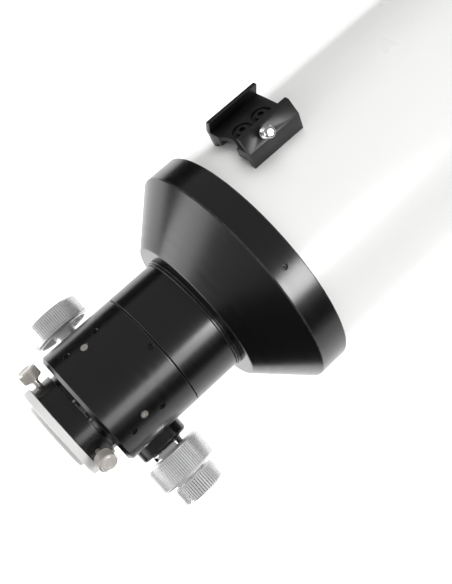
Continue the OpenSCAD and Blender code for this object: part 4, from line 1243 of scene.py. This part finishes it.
# %% Finder thumbscrew
SHOE_ANGLE = math.radians(41.0)
SHOE_LEAN = math.radians(90 - 28.0)
SHOE_SCREW_X = ends("finder_shoe")[0] + 14.2
SHOE_SCREW_SIDE, SHOE_SCREW_UP = 19.9, 13.85
FINDER_R = 3.7
across_shoe = np.array((0, math.cos(SHOE_ANGLE), -math.sin(SHOE_ANGLE)))
outward = np.array((0, math.sin(SHOE_ANGLE), math.cos(SHOE_ANGLE)))
screw_from = (np.array((SHOE_SCREW_X, 0, 0)) - SHOE_SCREW_SIDE * across_shoe
              + (TUBE_R + SHOE_SCREW_UP) * outward)
screw_way = -math.sin(SHOE_LEAN) * across_shoe + math.cos(SHOE_LEAN) * outward
place = axis_frame(screw_from, screw_way, (1, 0, 0))
finder_screw = knurled_screw("finder_thumbscrew_turned", place, [
    (-6.5, 0), (-6.5, 2, 0.4), (1.6, 2, 0.2), (1.6, 2.6, 0.2), (3.2, 2.6, 0.2),
    (3.2, FINDER_R - 0.3, 0.2), (3.6, FINDER_R, 0.1), *knurl_rows(3.8, 10.4, FINDER_R),
    (10.6, FINDER_R, 0.2), (11.4, 3.2, 0.3), (11.8, 2.2, 0.4), (11.8, 0)], teeth=22)
settle(finder_screw, bright_turned, "finder_screw", "chrome", "finder_thumbscrew")

# %% [markdown]
# ## The front of the tube
# None of this faces the camera in the main view, but the instrument is one object: a black ring
# that carries the dew shield, the shield itself, and a push-in cap with a shallow moulded dish.

# %% Dew shield, its ring and the front cap
shield_rear, shield_front = ends("dew_shield")
shield_r = across("dew_shield")
shield_in = shield_r - 2
shield = lathe("dew_shield_rolled", [
    (shield_rear, shield_r, 0.1), (shield_front, shield_r, 0.8), (shield_front, shield_in, 0.5),
    (shield_rear, shield_in, 0.1)], segments=256)
settle(shield, white_lacquer, "tube", "white_paint", "dew_shield")

CELL_R = across("cell_ring")
band_rear, band_front = ends("dew_shield_ring")
cell_stop = tube_front - 4
band = lathe("dew_shield_ring_turned", [
    (band_rear, TUBE_R + 0.3, 0.3), (band_rear, shield_r, 0.8), (shield_rear, shield_r, 0.15),
    (shield_rear, shield_in - 0.02), (band_front, shield_in - 0.02, 0.3),
    (band_front, CELL_R + 0.02, 0.2), (cell_stop, CELL_R + 0.02), (cell_stop, TUBE_R + 0.3)],
    segments=256)
settle(band, black_turned, "tube", "black_anodised", "dew_shield_ring")

lid_low, lid_high = ends("front_dust_cap")
plug_r = shield_r - 2.3
lid = lathe("front_cap_moulded", [
    (shield_front - 1.5, 0), (shield_front - 1.5, 42.5, 1.5), (shield_front + 1, 44, 1.2),
    (shield_front + 1, plug_r - 2.5, 1.0), (lid_low, plug_r - 2.5, 0.5), (lid_low, plug_r, 0.8),
    (shield_front + 0.3, plug_r, 0.1), (shield_front + 0.3, shield_r - 0.5, 0.3),
    (lid_high, shield_r - 0.5, 1.4), (lid_high, 42, 1.2), (lid_high - 3, 40, 1.2),
    (lid_high - 3, 0)], segments=256, closed=False)
settle(lid, black_moulded, "front_cap", "black_plastic", "front_dust_cap")

# %% [markdown]
# ## Finishes for the pieces kept from the model
# Bearings, pins, screws, gears and lenses are already the right shape. They only need the right
# surface, which follows from the record's own slots.

# %% Finishes for the model's own nodes
SLOT_FINISH = {
    "white_paint": white_lacquer, "black_anodised": black_milled, "matte_black": matt_lining,
    "silver_anodised": steel_plain, "nickel": steel_plain, "steel": steel_plain,
    "chrome": chrome_plain, "brass": brass_plain, "cap_plastic": cap_moulded,
    "black_plastic": black_moulded, "coated_glass": coated_glass}
for name, node in nodes.items():
    slot = node.material_slots[0].material.name.split(".")[0]
    for material_slot in node.material_slots:
        material_slot.material = SLOT_FINISH[slot]
print("finished", len(nodes), "nodes of the model")
